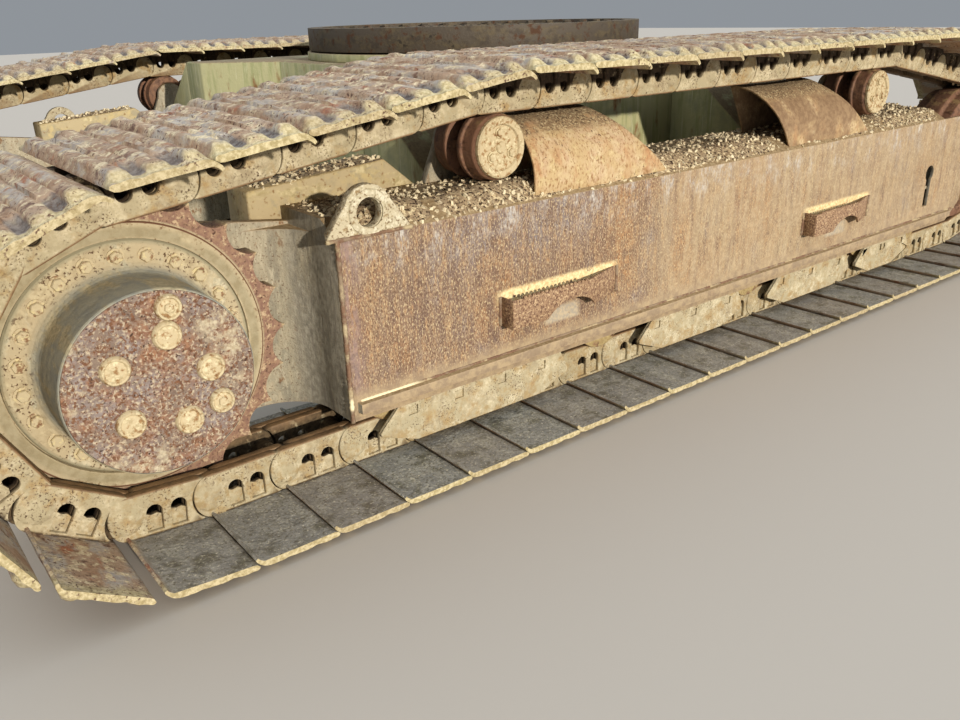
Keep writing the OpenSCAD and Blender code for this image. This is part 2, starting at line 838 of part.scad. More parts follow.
track("right");  // track_right
track("left");  // track_left
sprocket("right");  // sprocket_right
sprocket("left");  // sprocket_left
final_drive("right");  // final_drive_right
final_drive("left");  // final_drive_left
travel_motor("right");  // travel_motor_right
travel_motor("left");  // travel_motor_left
side_frame("right");  // side_frame_right
side_frame("left");  // side_frame_left
idler("right");  // idler_right
idler("left");  // idler_left
idler_yoke("right");  // idler_yoke_right
idler_yoke("left");  // idler_yoke_left
track_rollers("right");  // track_rollers_right
track_rollers("left");  // track_rollers_left
roller_guards("right");  // roller_guards_right
roller_guards("left");  // roller_guards_left
carrier_rollers("right");  // carrier_rollers_right
carrier_rollers("left");  // carrier_rollers_left
carrier_brackets("right");  // carrier_brackets_right
carrier_brackets("left");  // carrier_brackets_left
mud_covers("right");  // mud_covers_right
mud_covers("left");  // mud_covers_left
hose_cover("right");  // hose_cover_right
hose_cover("left");  // hose_cover_left
steps("right");  // steps_right
steps("left");  // steps_left
lifting_lugs("right");  // lifting_lugs_right
lifting_lugs("left");  // lifting_lugs_left
car_body();
legs("right");  // legs_right
legs("left");  // legs_left
ring_seat();
ring_inner_race();
ring_outer_race();
rotary_joint();
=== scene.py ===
import math

import bmesh
import bpy
from mathutils import Matrix, Vector, noise


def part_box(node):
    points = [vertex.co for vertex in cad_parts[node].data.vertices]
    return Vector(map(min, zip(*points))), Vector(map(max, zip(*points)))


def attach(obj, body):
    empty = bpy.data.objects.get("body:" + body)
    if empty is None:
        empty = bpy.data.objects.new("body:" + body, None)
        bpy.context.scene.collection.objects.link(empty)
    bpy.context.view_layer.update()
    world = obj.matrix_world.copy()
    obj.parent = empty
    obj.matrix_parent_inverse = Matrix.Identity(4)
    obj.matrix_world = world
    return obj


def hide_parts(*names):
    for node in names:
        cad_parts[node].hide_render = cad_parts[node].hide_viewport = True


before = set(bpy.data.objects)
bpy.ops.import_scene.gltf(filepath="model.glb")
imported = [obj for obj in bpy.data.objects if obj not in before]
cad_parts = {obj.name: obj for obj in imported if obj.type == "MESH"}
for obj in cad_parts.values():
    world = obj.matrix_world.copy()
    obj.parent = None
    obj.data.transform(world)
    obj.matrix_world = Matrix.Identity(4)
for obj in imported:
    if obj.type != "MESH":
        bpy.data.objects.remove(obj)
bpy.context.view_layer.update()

# Camera: stands beside the rear of the right track, a little above it, and looks
# forward and across the machine.
eye = Vector((-2.649, -3.450, 1.268))
look_turn = math.radians(37.9)
look_down = math.radians(22.3)
look_roll = math.radians(1.6)
ahead = Vector((
    math.sin(look_turn) * math.cos(look_down),
    math.cos(look_turn) * math.cos(look_down),
    -math.sin(look_down),
))
level_right = Vector((math.cos(look_turn), -math.sin(look_turn), 0))
level_down = ahead.cross(level_right)
right = math.cos(look_roll) * level_right + math.sin(look_roll) * level_down
down = math.cos(look_roll) * level_down - math.sin(look_roll) * level_right
camera = bpy.data.objects.new("camera", bpy.data.cameras.new("camera"))
camera.data.lens = 31.98
camera.data.sensor_width = 36
camera.matrix_world = Matrix((right, -down, -ahead)).transposed().to_4x4()
camera.matrix_world.translation = eye
bpy.context.scene.collection.objects.link(camera)
bpy.context.scene.camera = camera

# Studio: a low warm key lamp on the right, a hand's breadth behind, under a pale dome that
# fades towards the horizon.
to_key = Vector((-0.07, -0.97, 0.235))
key = bpy.data.objects.new("key", bpy.data.lights.new("key", "SUN"))
key.data.energy = 3.0
key.data.angle = math.radians(1.5)
key.data.color = (1.0, 0.93, 0.83)
key.rotation_euler = to_key.to_track_quat("Z", "Y").to_euler()
bpy.context.scene.collection.objects.link(key)
sky = bpy.data.worlds.new("sky")
sky.use_nodes = True
dome = sky.node_tree.nodes["Background"]
dome.inputs["Color"].default_value = (0.87, 0.93, 1.0, 1)
direction = sky.node_tree.nodes.new("ShaderNodeTexCoord")
climb = sky.node_tree.nodes.new("ShaderNodeSeparateXYZ")
glow = sky.node_tree.nodes.new("ShaderNodeMapRange")
for name, value in (("From Min", 0.05), ("From Max", 0.80), ("To Min", 0.30), ("To Max", 1.05)):
    glow.inputs[name].default_value = value
sky.node_tree.links.new(direction.outputs["Generated"], climb.inputs[0])
sky.node_tree.links.new(climb.outputs["Z"], glow.inputs["Value"])
sky.node_tree.links.new(glow.outputs["Result"], dome.inputs["Strength"])
bpy.context.scene.world = sky
bpy.context.scene.view_settings.view_transform = "Standard"
bpy.context.scene.view_settings.look = "Medium High Contrast"

# Track shoes: rolled plates with three bars, one to each link. Each plate's front
# edge curls down and the next plate's raised rear edge lies over it. The bars are
# worn round and the plates are rusty under a skin of dry dust.
def middle(node):
    low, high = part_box(node)
    return (low + high) / 2


# Each track unit is drawn once, for the right side: x from the sprocket's axis, y from
# the chain's middle with its outboard side negative, z from the ground.
sprocket_axis = middle("sprocket_right")
half_gauge = -middle("track_right").y
base = middle("idler_right").x - sprocket_axis.x
to_right = Matrix.Translation((sprocket_axis.x, -half_gauge, 0))
to_left = Matrix.Scale(-1, 4, (0, 1, 0)) @ to_right
pitch = 0.216
links = 51
rise_links = 5
level_links = 11
rise = math.radians(8)
pin_height = 0.105
sprocket_turn = math.radians(720 / 23)
sprocket_pins = pitch / 2 / math.sin(sprocket_turn / 2)
idler_pins = math.hypot(0.320 + 0.062 + 0.0003, pitch / 2)
idler_turn = 2 * math.asin(pitch / 2 / idler_pins)


def heading(angle):
    return Vector((math.cos(angle), math.sin(angle)))


rise_start = Vector((0, sprocket_pins)) + sprocket_pins * heading(math.pi / 2 + rise)
rear_bend = rise_start + rise_links * pitch * heading(rise)
front_bend = rear_bend + Vector((level_links * pitch, 0))
to_idler = Vector((base, idler_pins)) - front_bend
fall_length = math.sqrt(to_idler.length_squared - idler_pins ** 2)
fall = math.atan2(-to_idler.y, to_idler.x) - math.asin(idler_pins / to_idler.length)
after_level = rise_links + level_links
after_fall = after_level + fall_length / pitch
after_idler = after_fall + (math.pi - fall) / idler_turn
after_ground = after_idler + base / pitch


def pin(t):
    """The chain's pin at t links from the start of the climbing run, as x and z."""
    if t < rise_links:
        spot = rise_start + t * pitch * heading(rise)
    elif t < after_level:
        spot = rear_bend + Vector(((t - rise_links) * pitch, 0))
    elif t < after_fall:
        spot = front_bend + (t - after_level) * pitch * heading(-fall)
    elif t < after_idler:
        angle = math.pi / 2 - fall - (t - after_fall) * idler_turn
        spot = Vector((base, idler_pins)) + idler_pins * heading(angle)
    elif t < after_ground:
        spot = Vector((base - (t - after_idler) * pitch, 0))
    else:
        angle = math.pi * 1.5 - (t - after_ground) * sprocket_turn
        spot = Vector((0, sprocket_pins)) + sprocket_pins * heading(angle)
    return spot + Vector((0, pin_height))


link_places = []
for i in range(links):
    here, there = pin(i), pin((i + 1) % links)
    angle = math.atan2(there.y - here.y, there.x - here.x)
    link_places.append(((here.x, 0, here.y), (0, -angle, 0)))

# A shoe's section: place along the link, height, how much of a bar stands on it, and
# whether it is a valley between bars.
shoe_skyline = [
    (-0.008, 0.071, 0.000, 0), (-0.006, 0.077, 0.000, 0), (0.001, 0.080, 0.004, 0), (0.006, 0.080, 0.016, 0),
    (0.012, 0.080, 0.022, 0), (0.022, 0.080, 0.022, 0), (0.034, 0.080, 0.021, 0), (0.042, 0.080, 0.015, 0),
    (0.049, 0.079, 0.004, 1), (0.062, 0.078, 0.000, 1), (0.074, 0.079, 0.004, 1), (0.080, 0.080, 0.015, 0),
    (0.086, 0.080, 0.021, 0), (0.100, 0.080, 0.022, 0), (0.113, 0.080, 0.021, 0), (0.120, 0.080, 0.015, 0),
    (0.126, 0.079, 0.004, 1), (0.138, 0.078, 0.000, 1), (0.151, 0.079, 0.004, 1), (0.157, 0.080, 0.015, 0),
    (0.163, 0.080, 0.021, 0), (0.174, 0.080, 0.022, 0), (0.186, 0.079, 0.020, 0), (0.194, 0.077, 0.012, 0),
    (0.203, 0.074, 0.002, 0), (0.212, 0.067, 0.000, 0), (0.220, 0.058, 0.000, 0), (0.223, 0.051, 0.000, 0)]
shoe_underside = [
    (0.217, 0.047), (0.210, 0.055), (0.201, 0.061), (0.108, 0.063), (0.010, 0.063), (0.000, 0.065)]
shoe_outline = shoe_skyline + [(u, h, 0.0, 0) for u, h in shoe_underside]
half_cuts = [
    0.0, 0.04, 0.08, 0.12, 0.16, 0.20, 0.24, 0.262, 0.280, 0.296, 0.312, 0.328, 0.340, 0.349, 0.356,
    0.363, 0.370, 0.375]
shoe_cuts = [-y for y in half_cuts[:0:-1]] + half_cuts
bar_end = 0.367
bar_fade = 0.024
pocket_start = 0.262
pocket_end = 0.352
margin_start = 0.325


def meshed(form, name):
    """The mesh of a form, which is given up."""
    mesh = bpy.data.meshes.new(name)
    form.to_mesh(mesh)
    form.free()
    return mesh


def bridged(form, rings, capped=True):
    """Faces from each ring of points to the next, and over both ends."""
    for low, high in zip(rings, rings[1:]):
        for i in range(len(low)):
            j = (i + 1) % len(low)
            corners = list(dict.fromkeys((low[i], low[j], high[j], high[i])))
            if len(corners) > 2:
                form.faces.new(corners)
    if capped:
        form.faces.new(rings[0][::-1])
        form.faces.new(rings[-1])
    bmesh.ops.recalc_face_normals(form, faces=form.faces)


def shoe_mesh():
    """Its bars are worn low and fade out towards the ends. Packed earth and rust fill
    the valleys between them but for a pocket near each end."""
    form = bmesh.new()
    rows = []
    for y in shoe_cuts:
        fade = min(1, max(0, (bar_end - abs(y)) / bar_fade))
        in_pocket = min(1, max(0, (abs(y) - pocket_start) / 0.04))
        row = []
        for u, h, bar, valley in shoe_outline:
            rough = noise.noise(Vector((u * 21, y * 13, 1.7)))
            fine = noise.noise(Vector((u * 75, y * 60, 4.1)))
            top = h + bar * fade * (0.84 + 0.36 * rough)
            if valley:
                top += (0.0165 + 0.012 * rough) * (1 - in_pocket) * fade
            if h > 0.066:
                top += 0.0018 * fine
            row.append(form.verts.new((u, y, min(top, pin_height))))
        rows.append(row)
    bridged(form, rows)
    mesh = meshed(form, "shoe")
    pocket = mesh.attributes.new("pocket", "FLOAT", "POINT")
    margin = mesh.attributes.new("margin", "FLOAT", "POINT")
    valleys = [valley for _, _, _, valley in shoe_outline] * len(shoe_cuts)
    for i, vert in enumerate(mesh.vertices):
        out = abs(vert.co.y)
        pocket.data[i].value = valleys[i] if pocket_start + 0.01 < out < pocket_end else 0
        margin.data[i].value = min(1, max(0, (out - margin_start) / 0.03))
    mesh.shade_smooth()
    mesh.set_sharp_from_angle(angle=math.radians(50))
    return mesh


def srgb(code):
    """A colour code as the linear colour that a shader takes."""
    levels = [int(code[i:i + 2], 16) / 255 for i in (1, 3, 5)]
    return tuple(v / 12.92 if v <= 0.04045 else ((v + 0.055) / 1.055) ** 2.4 for v in levels) + (1,)


class Finish:
    """A surface built up as the real one was: a ground, then coats of paint, rust and
    dust that masks let through."""

    def __init__(self, name, ground, roughness, metallic=0.0):
        self.material = bpy.data.materials.new(name)
        self.material.use_nodes = True
        self.tree = self.material.node_tree
        self.tree.nodes.clear()
        self.shader = self.add("ShaderNodeBsdfPrincipled", Metallic=metallic)
        output = self.add("ShaderNodeOutputMaterial")
        self.tree.links.new(self.shader.outputs[0], output.inputs["Surface"])
        self.place = self.add("ShaderNodeTexCoord").outputs["Object"]
        self.normal = self.add("ShaderNodeNewGeometry").outputs["Normal"]
        self.colour = srgb(ground)
        self.rough = roughness
        self.relief = None

    def add(self, kind, settings=None, **inputs):
        node = self.tree.nodes.new(kind)
        for name, value in (settings or {}).items():
            setattr(node, name, value)
        for name, value in inputs.items():
            self.put(node.inputs[name.replace("_", " ")], value)
        return node

    def put(self, socket, value):
        if isinstance(value, bpy.types.NodeSocket):
            self.tree.links.new(value, socket)
        else:
            socket.default_value = value

    def sum(self, node, values, output=0):
        for socket, value in zip(node.inputs, values):
            self.put(socket, value)
        return node.outputs[output]

    def math(self, operation, *values, clamp=True):
        return self.sum(self.add("ShaderNodeMath", {"operation": operation, "use_clamp": clamp}), values)

    def vectors(self, operation, *values, output="Value"):
        return self.sum(self.add("ShaderNodeVectorMath", {"operation": operation}), values, output)

    def both(self, *masks):
        total = masks[0]
        for mask in masks[1:]:
            total = self.math("MULTIPLY", total, mask)
        return total

    def either(self, *masks):
        total = masks[0]
        for mask in masks[1:]:
            total = self.math("MAXIMUM", total, mask)
        return total

    def inverse(self, mask):
        return self.math("SUBTRACT", 1.0, mask)

    def step(self, value, low, high):
        node = self.add("ShaderNodeMapRange", {"interpolation_type": "SMOOTHSTEP"})
        self.put(node.inputs["Value"], value)
        self.put(node.inputs["From Min"], low)
        self.put(node.inputs["From Max"], high)
        return node.outputs["Result"]

    def grain(self, size, stretch=(1, 1, 1), detail=5, shift=0.0):
        """Cloudy noise with features of about that size in metres."""
        spot = self.add("ShaderNodeMapping", Vector=self.place)
        spot.inputs["Scale"].default_value = [1 / (size * s) for s in stretch]
        spot.inputs["Location"].default_value = (shift, shift, shift)
        node = self.add(
            "ShaderNodeTexNoise", Vector=spot.outputs[0], Scale=1.0, Detail=detail, Roughness=0.62)
        return node.outputs["Fac"]

    def patches(self, size, share, stretch=(1, 1, 1), soft=0.06, detail=5, shift=0.0):
        """Patches that cover roughly that share of the surface."""
        middle = 0.5 + (0.5 - share) * 0.42
        return self.step(self.grain(size, stretch, detail, shift), middle - soft, middle + soft)

    def within(self, mask, *size_and_share, **form):
        """Patches inside a mask."""
        return self.both(mask, self.patches(*size_and_share, **form))

    def between(self, value, rise_start, rise_end, fall_start, fall_end):
        """A band that fades in and out over those ranges of a value."""
        return self.both(self.step(value, rise_start, rise_end),
                         self.inverse(self.step(value, fall_start, fall_end)))

    def part_of(self, vector, axis):
        return self.add("ShaderNodeSeparateXYZ", Vector=vector).outputs[axis]

    def upward(self, low=0.3, high=0.9):
        return self.step(self.part_of(self.normal, "Z"), low, high)

    def height(self, low, high):
        return self.step(self.part_of(self.place, "Z"), low, high)

    def absolute(self, value):
        return self.math("ABSOLUTE", value, clamp=False)

    def outboard(self):
        """Distance from the machine's middle plane, the same on both sides."""
        return self.absolute(self.part_of(self.place, "Y"))

    def outward(self):
        """How far a surface faces away from the machine's middle plane."""
        sign = self.math("SIGN", self.part_of(self.place, "Y"), clamp=False)
        return self.math("MULTIPLY", sign, self.part_of(self.normal, "Y"), clamp=False)

    def marked(self, name):
        return self.add("ShaderNodeAttribute", {"attribute_name": name}).outputs["Fac"]

    def edges(self, radius, low=0.02, high=0.25):
        """Edges and corners, found by rounding the normal over that radius."""
        rounded = self.add("ShaderNodeBevel", {"samples": 3}, Radius=radius)
        dot = self.vectors("DOT_PRODUCT", rounded.outputs[0], self.normal)
        return self.step(self.inverse(dot), low, high)

    def mixed(self, mask, a, b):
        node = self.add("ShaderNodeMix", {"data_type": "RGBA"})
        for i, value in ((0, mask), (6, a), (7, b)):
            self.put(node.inputs[i], value)
        return node.outputs[2]

    def coat(self, mask, colour, roughness=None, second=None, size=0.03):
        """Lays a coat where the mask lets it. A second colour mottles it."""
        top = srgb(colour)
        if second:
            top = self.mixed(self.step(self.grain(size, shift=3.3), 0.35, 0.65), top, srgb(second))
        self.colour = self.mixed(mask, self.colour, top)
        if roughness is not None:
            node = self.add("ShaderNodeMix", {"data_type": "FLOAT"})
            for i, value in ((0, mask), (2, self.rough), (3, roughness)):
                self.put(node.inputs[i], value)
            self.rough = node.outputs[0]

    def stain(self, size, share, *coat, **form):
        """Lays a coat in patches of about that size over that share of the surface."""
        self.coat(self.patches(size, share, **form), *coat)

    def raise_by(self, value, depth):
        node = self.add("ShaderNodeBump", Height=value, Distance=depth, Strength=1.0)
        if self.relief:
            self.put(node.inputs["Normal"], self.relief)
        self.relief = node.outputs[0]

    def roughen(self, size, depth, *stretch, **form):
        self.raise_by(self.grain(size, *stretch, **form), depth)

    def done(self):
        self.put(self.shader.inputs["Base Color"], self.colour)
        self.put(self.shader.inputs["Roughness"], self.rough)
        if self.relief:
            self.put(self.shader.inputs["Normal"], self.relief)
        return self.material


def shoe_finish():
    skin = Finish("shoe_steel", "#af9780", 0.85)
    skin.stain(0.09, 0.5, "#997a60", 0.85, "#b59b82", 0.03)
    skin.stain(0.07, 0.40, "#beb4a4", 0.85, "#a8a29d", 0.012, stretch=(1, 2, 1), shift=4, soft=0.08)
    skin.stain(0.05, 0.20, "#ac7250", 0.8, "#8c5c46", 0.012, stretch=(1, 2, 1), shift=11, soft=0.06)
    skin.stain(0.04, 0.22, "#6e5647", 0.85, "#86695a", 0.01, stretch=(1, 1.5, 1), shift=15, soft=0.05)
    dust = skin.within(skin.upward(0.2, 0.8), 0.03, 0.36, shift=9, soft=0.06)
    skin.coat(dust, "#e4d6b6", 0.95, "#c4b393", 0.008)
    # The pockets near the shoe ends are dark grey: partly damp rust, partly painted shade from the bars.
    pocket = skin.within(skin.marked("pocket"), 0.05, 0.8, shift=3)
    skin.coat(pocket, "#86827e", 0.85, "#5d5754", 0.015)
    margin = skin.within(skin.marked("margin"), 0.03, 0.75, shift=20)
    skin.coat(skin.both(margin, skin.inverse(skin.marked("pocket"))), "#cfc4a0", 0.95, "#a89b78", 0.010)
    under = skin.inverse(skin.step(skin.part_of(skin.place, "Z"), 0.055, 0.075))
    bed = skin.both(under, skin.upward(0.2, 0.8))
    skin.coat(bed, "#9a9890", 0.95, "#888781", 0.05)
    skin.coat(skin.within(bed, 0.05, 0.34, (1, 2, 1), shift=6, soft=0.1), "#aca99f", 0.95, "#9a988c", 0.01)
    skin.coat(skin.within(bed, 0.06, 0.30, shift=13, soft=0.1), "#66635a", 0.95, "#74725f", 0.01)
    skin.coat(skin.within(bed, 0.008, 0.24, shift=17, soft=0.10, detail=4), "#66614f", 0.95)
    skin.coat(skin.within(bed, 0.008, 0.18, shift=22, soft=0.10, detail=4), "#cdc7b2", 0.95)
    end = skin.both(skin.step(skin.outward(), 0.25, 0.7), skin.patches(0.06, 0.9, shift=2))
    skin.coat(end, "#cdc09b", 0.95, "#a4966f", 0.010)
    pits = skin.within(skin.patches(0.1, 0.5, shift=5), 0.008, 0.28, shift=5, soft=0.04)
    skin.coat(skin.both(pits, skin.inverse(under)), "#5c4537", 0.9)
    skin.coat(skin.both(skin.marked("tint"), 0.3), "#8d7663")
    skin.roughen(0.03, 0.006)
    skin.roughen(0.006, 0.002, detail=3, shift=2)
    return skin.done()


def shown(name, mesh, material=None):
    """An object for a finished mesh, at the origin."""
    piece = bpy.data.objects.new(name, mesh)
    bpy.context.scene.collection.objects.link(piece)
    if material:
        mesh.materials.clear()
        mesh.materials.append(material)
    return piece


def flattened(piece):
    """The mesh that an object's modifiers give. The object itself is removed."""
    bpy.context.view_layer.update()
    graph = bpy.context.evaluated_depsgraph_get()
    mesh = bpy.data.meshes.new_from_object(piece.evaluated_get(graph))
    bpy.data.objects.remove(piece)
    return mesh


def copying_tree(name, inputs):
    """A tree that puts a piece at points, gives each copy a random tint and the whole
    its finish. The caller links what places the copies."""
    tree = bpy.data.node_groups.new(name, "GeometryNodeTree")
    for socket, kind in inputs.items():
        tree.interface.new_socket(socket, in_out="INPUT", socket_type="NodeSocket" + kind)
    tree.interface.new_socket("Pieces", in_out="OUTPUT", socket_type="NodeSocketGeometry")
    start = tree.nodes.new("NodeGroupInput")
    end = tree.nodes.new("NodeGroupOutput")
    info = tree.nodes.new("GeometryNodeObjectInfo")
    put = tree.nodes.new("GeometryNodeInstanceOnPoints")
    chance = tree.nodes.new("FunctionNodeRandomValue")
    tint = tree.nodes.new("GeometryNodeStoreNamedAttribute")
    tint.domain = "INSTANCE"
    tint.inputs["Name"].default_value = "tint"
    real = tree.nodes.new("GeometryNodeRealizeInstances")
    paint = tree.nodes.new("GeometryNodeSetMaterial")
    for a, b in ((start.outputs["Piece"], info.inputs["Object"]),
                 (info.outputs["Geometry"], put.inputs["Instance"]),
                 (put.outputs["Instances"], tint.inputs["Geometry"]),
                 (chance.outputs[1], tint.inputs["Value"]),
                 (tint.outputs["Geometry"], real.inputs["Geometry"]),
                 (real.outputs["Geometry"], paint.inputs["Geometry"]),
                 (start.outputs["Finish"], paint.inputs["Material"]),
                 (paint.outputs["Geometry"], end.inputs["Pieces"])):
        tree.links.new(a, b)
    return tree, start, put, chance


def repeater():
    """The tree that sets a piece at each point, turned by the point's own attribute."""
    tree, start, put, chance = copying_tree(
        "repeat", {"Points": "Geometry", "Piece": "Object", "Finish": "Material", "Seed": "Int"})
    turn = tree.nodes.new("GeometryNodeInputNamedAttribute")
    turn.data_type = "FLOAT_VECTOR"
    turn.inputs["Name"].default_value = "turn"
    tree.links.new(start.outputs["Points"], put.inputs["Points"])
    tree.links.new(turn.outputs["Attribute"], put.inputs["Rotation"])
    tree.links.new(start.outputs["Seed"], chance.inputs["Seed"])
    return tree


def grown(bed, tree, inputs):
    """The mesh that a tree makes of an object and a piece, which are both removed."""
    modifier = bed.modifiers.new(tree.name, "NODES")
    modifier.node_group = tree
    names = {item.name: item.identifier for item in tree.interface.items_tree}
    for name, value in inputs.items():
        modifier[names[name]] = value
    mesh = flattened(bed)
    bpy.data.objects.remove(inputs["Piece"])
    return mesh


repeat = repeater()


def repeated(piece_mesh, places, material, seed=1):
    """The piece at each place, a pair of its point and its turn about the axes."""
    points = bpy.data.meshes.new("points")
    points.from_pydata([spot for spot, _ in places], [], [])
    turns = points.attributes.new("turn", "FLOAT_VECTOR", "POINT")
    for item, (_, turn) in zip(turns.data, places):
        item.vector = turn
    return grown(shown("row", points), repeat,
                 {"Piece": shown("piece", piece_mesh), "Finish": material, "Seed": seed})


def both_sides(name, mesh, material, replaced=()):
    """One piece for each track unit, the left one mirrored."""
    for side, place in (("right", to_right), ("left", to_left)):
        own = mesh.copy()
        own.transform(place)
        if side == "left":
            own.flip_normals()
        piece = shown(f"{name}_{side}", own, material)
        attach(piece, "undercarriage")
        if replaced:
            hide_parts(*[f"{node}_{side}" for node in replaced])


shoe_steel = shoe_finish()
shoes = repeated(shoe_mesh(), link_places, shoe_steel, seed=4)
both_sides("shoes", shoes, shoe_steel, ["track"])

# Shoe bolts: four hexagon heads to a shoe, in the valleys between its bars, over the
# two rails of the chain.
rail_in = 0.052
rail_out = 0.100
rail_middle = (rail_in + rail_out) / 2


def hexagon(radius, height, washer=0.0):
    """A bolt head on the plane z = 0, its washer under it, its top edge broken."""
    form = bmesh.new()
    prisms = [(6, [(radius, washer), (radius, height - radius * 0.18), (radius * 0.86, height)])]
    if washer:
        prisms.append((16, [(radius * 1.3, 0.0), (radius * 1.3, washer)]))
    for sides, levels in prisms:
        turns = [2 * math.pi * i / sides for i in range(sides)]
        bridged(form, [[form.verts.new((r * math.cos(a), r * math.sin(a), z)) for a in turns]
                       for r, z in levels])
    return meshed(form, "hexagon")


def joined(meshes):
    """Several meshes as one."""
    form = bmesh.new()
    for mesh in meshes:
        form.from_mesh(mesh)
    return meshed(form, "joined")


four_bolts = []
for u in (0.0645, 0.1385):
    for y in (-rail_middle, rail_middle):
        bolt = hexagon(0.0165, 0.014)
        bolt.transform(Matrix.Translation((u, y, 0.0765)))
        four_bolts.append(bolt)
shoe_bolts = repeated(joined(four_bolts), link_places, shoe_steel, seed=8)
both_sides("shoe_bolts", shoe_bolts, shoe_steel)

# Chain links: forged rails, two halves thick, whose rounded outer end laps over the
# next link. Each has two windows for the shoe nuts. The rollers keep the rail's edge
# brown and smooth, and dry mud dust covers the rest.
rail_half = 0.062
overlap = 0.024
window_places = (0.084, 0.146)
nut_seat = 0.0200


def arc(x, z, rx, rz, start, end, parts):
    """Points along an arc or an ellipse, angles in degrees."""
    steps = [math.radians(start + (end - start) * i / parts) for i in range(parts + 1)]
    return [(x + rx * math.cos(a), z + rz * math.sin(a)) for a in steps]


def plate(outlines, low, high, edge=0.002):
    """Outlines in x and z, the first one cut by the others, as a plate from y = low to
    y = high with rounded edges."""
    curve = bpy.data.curves.new("plate", "CURVE")
    curve.dimensions = "2D"
    curve.fill_mode = "BOTH"
    curve.extrude = (high - low) / 2 - edge
    curve.bevel_depth = edge
    curve.offset = -edge
    curve.bevel_resolution = 1
    for outline in outlines:
        line = curve.splines.new("POLY")
        line.points.add(len(outline) - 1)
        for point, (x, z) in zip(line.points, outline):
            point.co = (x, z, 0, 1)
        line.use_cyclic_u = True
    mesh = flattened(shown("plate", curve))
    mesh.transform(Matrix.Translation((0, (low + high) / 2, 0)) @ Matrix.Rotation(math.pi / 2, 4, "X"))
    return mesh


def turned(profile, steps=48, x=0.0, z=0.0):
    """A profile of radius and y turned about an axis across the machine."""
    form = bmesh.new()
    rings = []
    for radius, y in profile:
        if radius < 1e-6:
            rings.append([form.verts.new((x, y, z))] * steps)
            continue
        turns = [2 * math.pi * i / steps for i in range(steps)]
        rings.append(
            [form.verts.new((x + radius * math.cos(a), y, z + radius * math.sin(a))) for a in turns])
    bridged(form, rings, capped=False)
    return meshed(form, "turned")


crease = math.radians(38)
least_corner = math.radians(28)


def soften(mesh, width=0.0):
    """Merges a mesh, rounds its sharp edges and shades it smooth between them."""
    form = bmesh.new()
    form.from_mesh(mesh)
    bmesh.ops.remove_doubles(form, verts=form.verts, dist=1e-5)
    bmesh.ops.dissolve_limit(
        form, angle_limit=math.radians(0.6), verts=form.verts, edges=form.edges, delimit={"MATERIAL"})
    if width:
        sharp = [e for e in form.edges if e.is_manifold and e.calc_face_angle(0) > least_corner]
        bmesh.ops.bevel(
            form, geom=sharp, offset=width, segments=2, profile=0.5, affect="EDGES",
            clamp_overlap=True, miter_outer="ARC")
    bmesh.ops.recalc_face_normals(form, faces=form.faces)
    form.to_mesh(mesh)
    form.free()
    mesh.shade_smooth()
    mesh.set_sharp_from_angle(angle=crease)
    return mesh


def window(u, radius, head):
    """The outline of a window, round at its foot and square at its head."""
    return arc(u, -0.002, radius, radius, 180, 360, 8) + [(u + radius, head), (u - radius, head)]


def link_mesh():
    meshes = []
    outer = (arc(-0.002, 0, 0.050, rail_half, 68, -68, 12)
             + [(0.030, -rail_half), (0.214, -rail_half)]
             + arc(0.214, 0, 0.046, rail_half, -80, 80, 14)
             + [(0.214, rail_half), (0.030, rail_half)])
    inner = ([(0.002, -rail_half), (0.180, -rail_half)]
             + arc(0.214, 0, 0.044, rail_half, -112, -248, 8)
             + [(0.180, rail_half), (0.002, rail_half)]
             + arc(0.002, 0, 0.043, rail_half, 100, 260, 10))
    nut_seats = [window(u, nut_seat, 0.052) for u in window_places]
    windows = [window(u, nut_seat - 0.0015, 0.020) for u in window_places]
    filling = [[(u - 0.0198, 0.0525), (u - 0.0198, 0.012), (u - 0.008, 0.006), (u + 0.007, 0.009),
                (u + 0.0198, 0.003), (u + 0.0198, 0.0525)] for u in window_places]
    layers = [([outer] + nut_seats, rail_out, rail_out - overlap),
              ([inner] + windows, rail_out - overlap, rail_in)]
    layers += [([fill], rail_out - 0.009, rail_out - overlap - 0.001) for fill in filling]
    boss = [(0, -0.03), (0.043, -0.03), (0.043, 0), (0.034, 0.005), (0.020, 0.007), (0, 0.006)]
    for flip in (-1, 1):
        for outlines, out, back in layers:
            meshes.append(plate(outlines, *sorted((out * flip, back * flip)), 0.003))
        meshes.append(turned([(r, (rail_out + out) * flip) for r, out in boss], 28, x=pitch))
    meshes.append(turned([(0, -rail_in), (0.033, -rail_in), (0.033, rail_in), (0, rail_in)], 20))
    mesh = soften(joined(meshes))
    wear = mesh.attributes.new("wear", "FLOAT", "POINT")
    grime_and_shade = mesh.attributes.new("grime_and_shade", "FLOAT", "POINT")
    shade_height = mesh.attributes.new("shade_height", "FLOAT", "POINT")
    for i, vert in enumerate(mesh.vertices):
        out = abs(vert.co.y)
        wear.data[i].value = 1.0 if vert.co.z < -rail_half + 0.0035 else 0.0
        # Top faces and inner faces: grime, and painted shade under the shoes and between the rails.
        grime_and_shade.data[i].value = 1.0 if vert.co.z > rail_half - 0.004 or out < rail_out - 0.011 else 0.0
        # Height on the rail's sides for the painted shade under the shoes; the bosses get none.
        shade_height.data[i].value = vert.co.z if out < rail_out + 0.001 else -rail_half
    return mesh


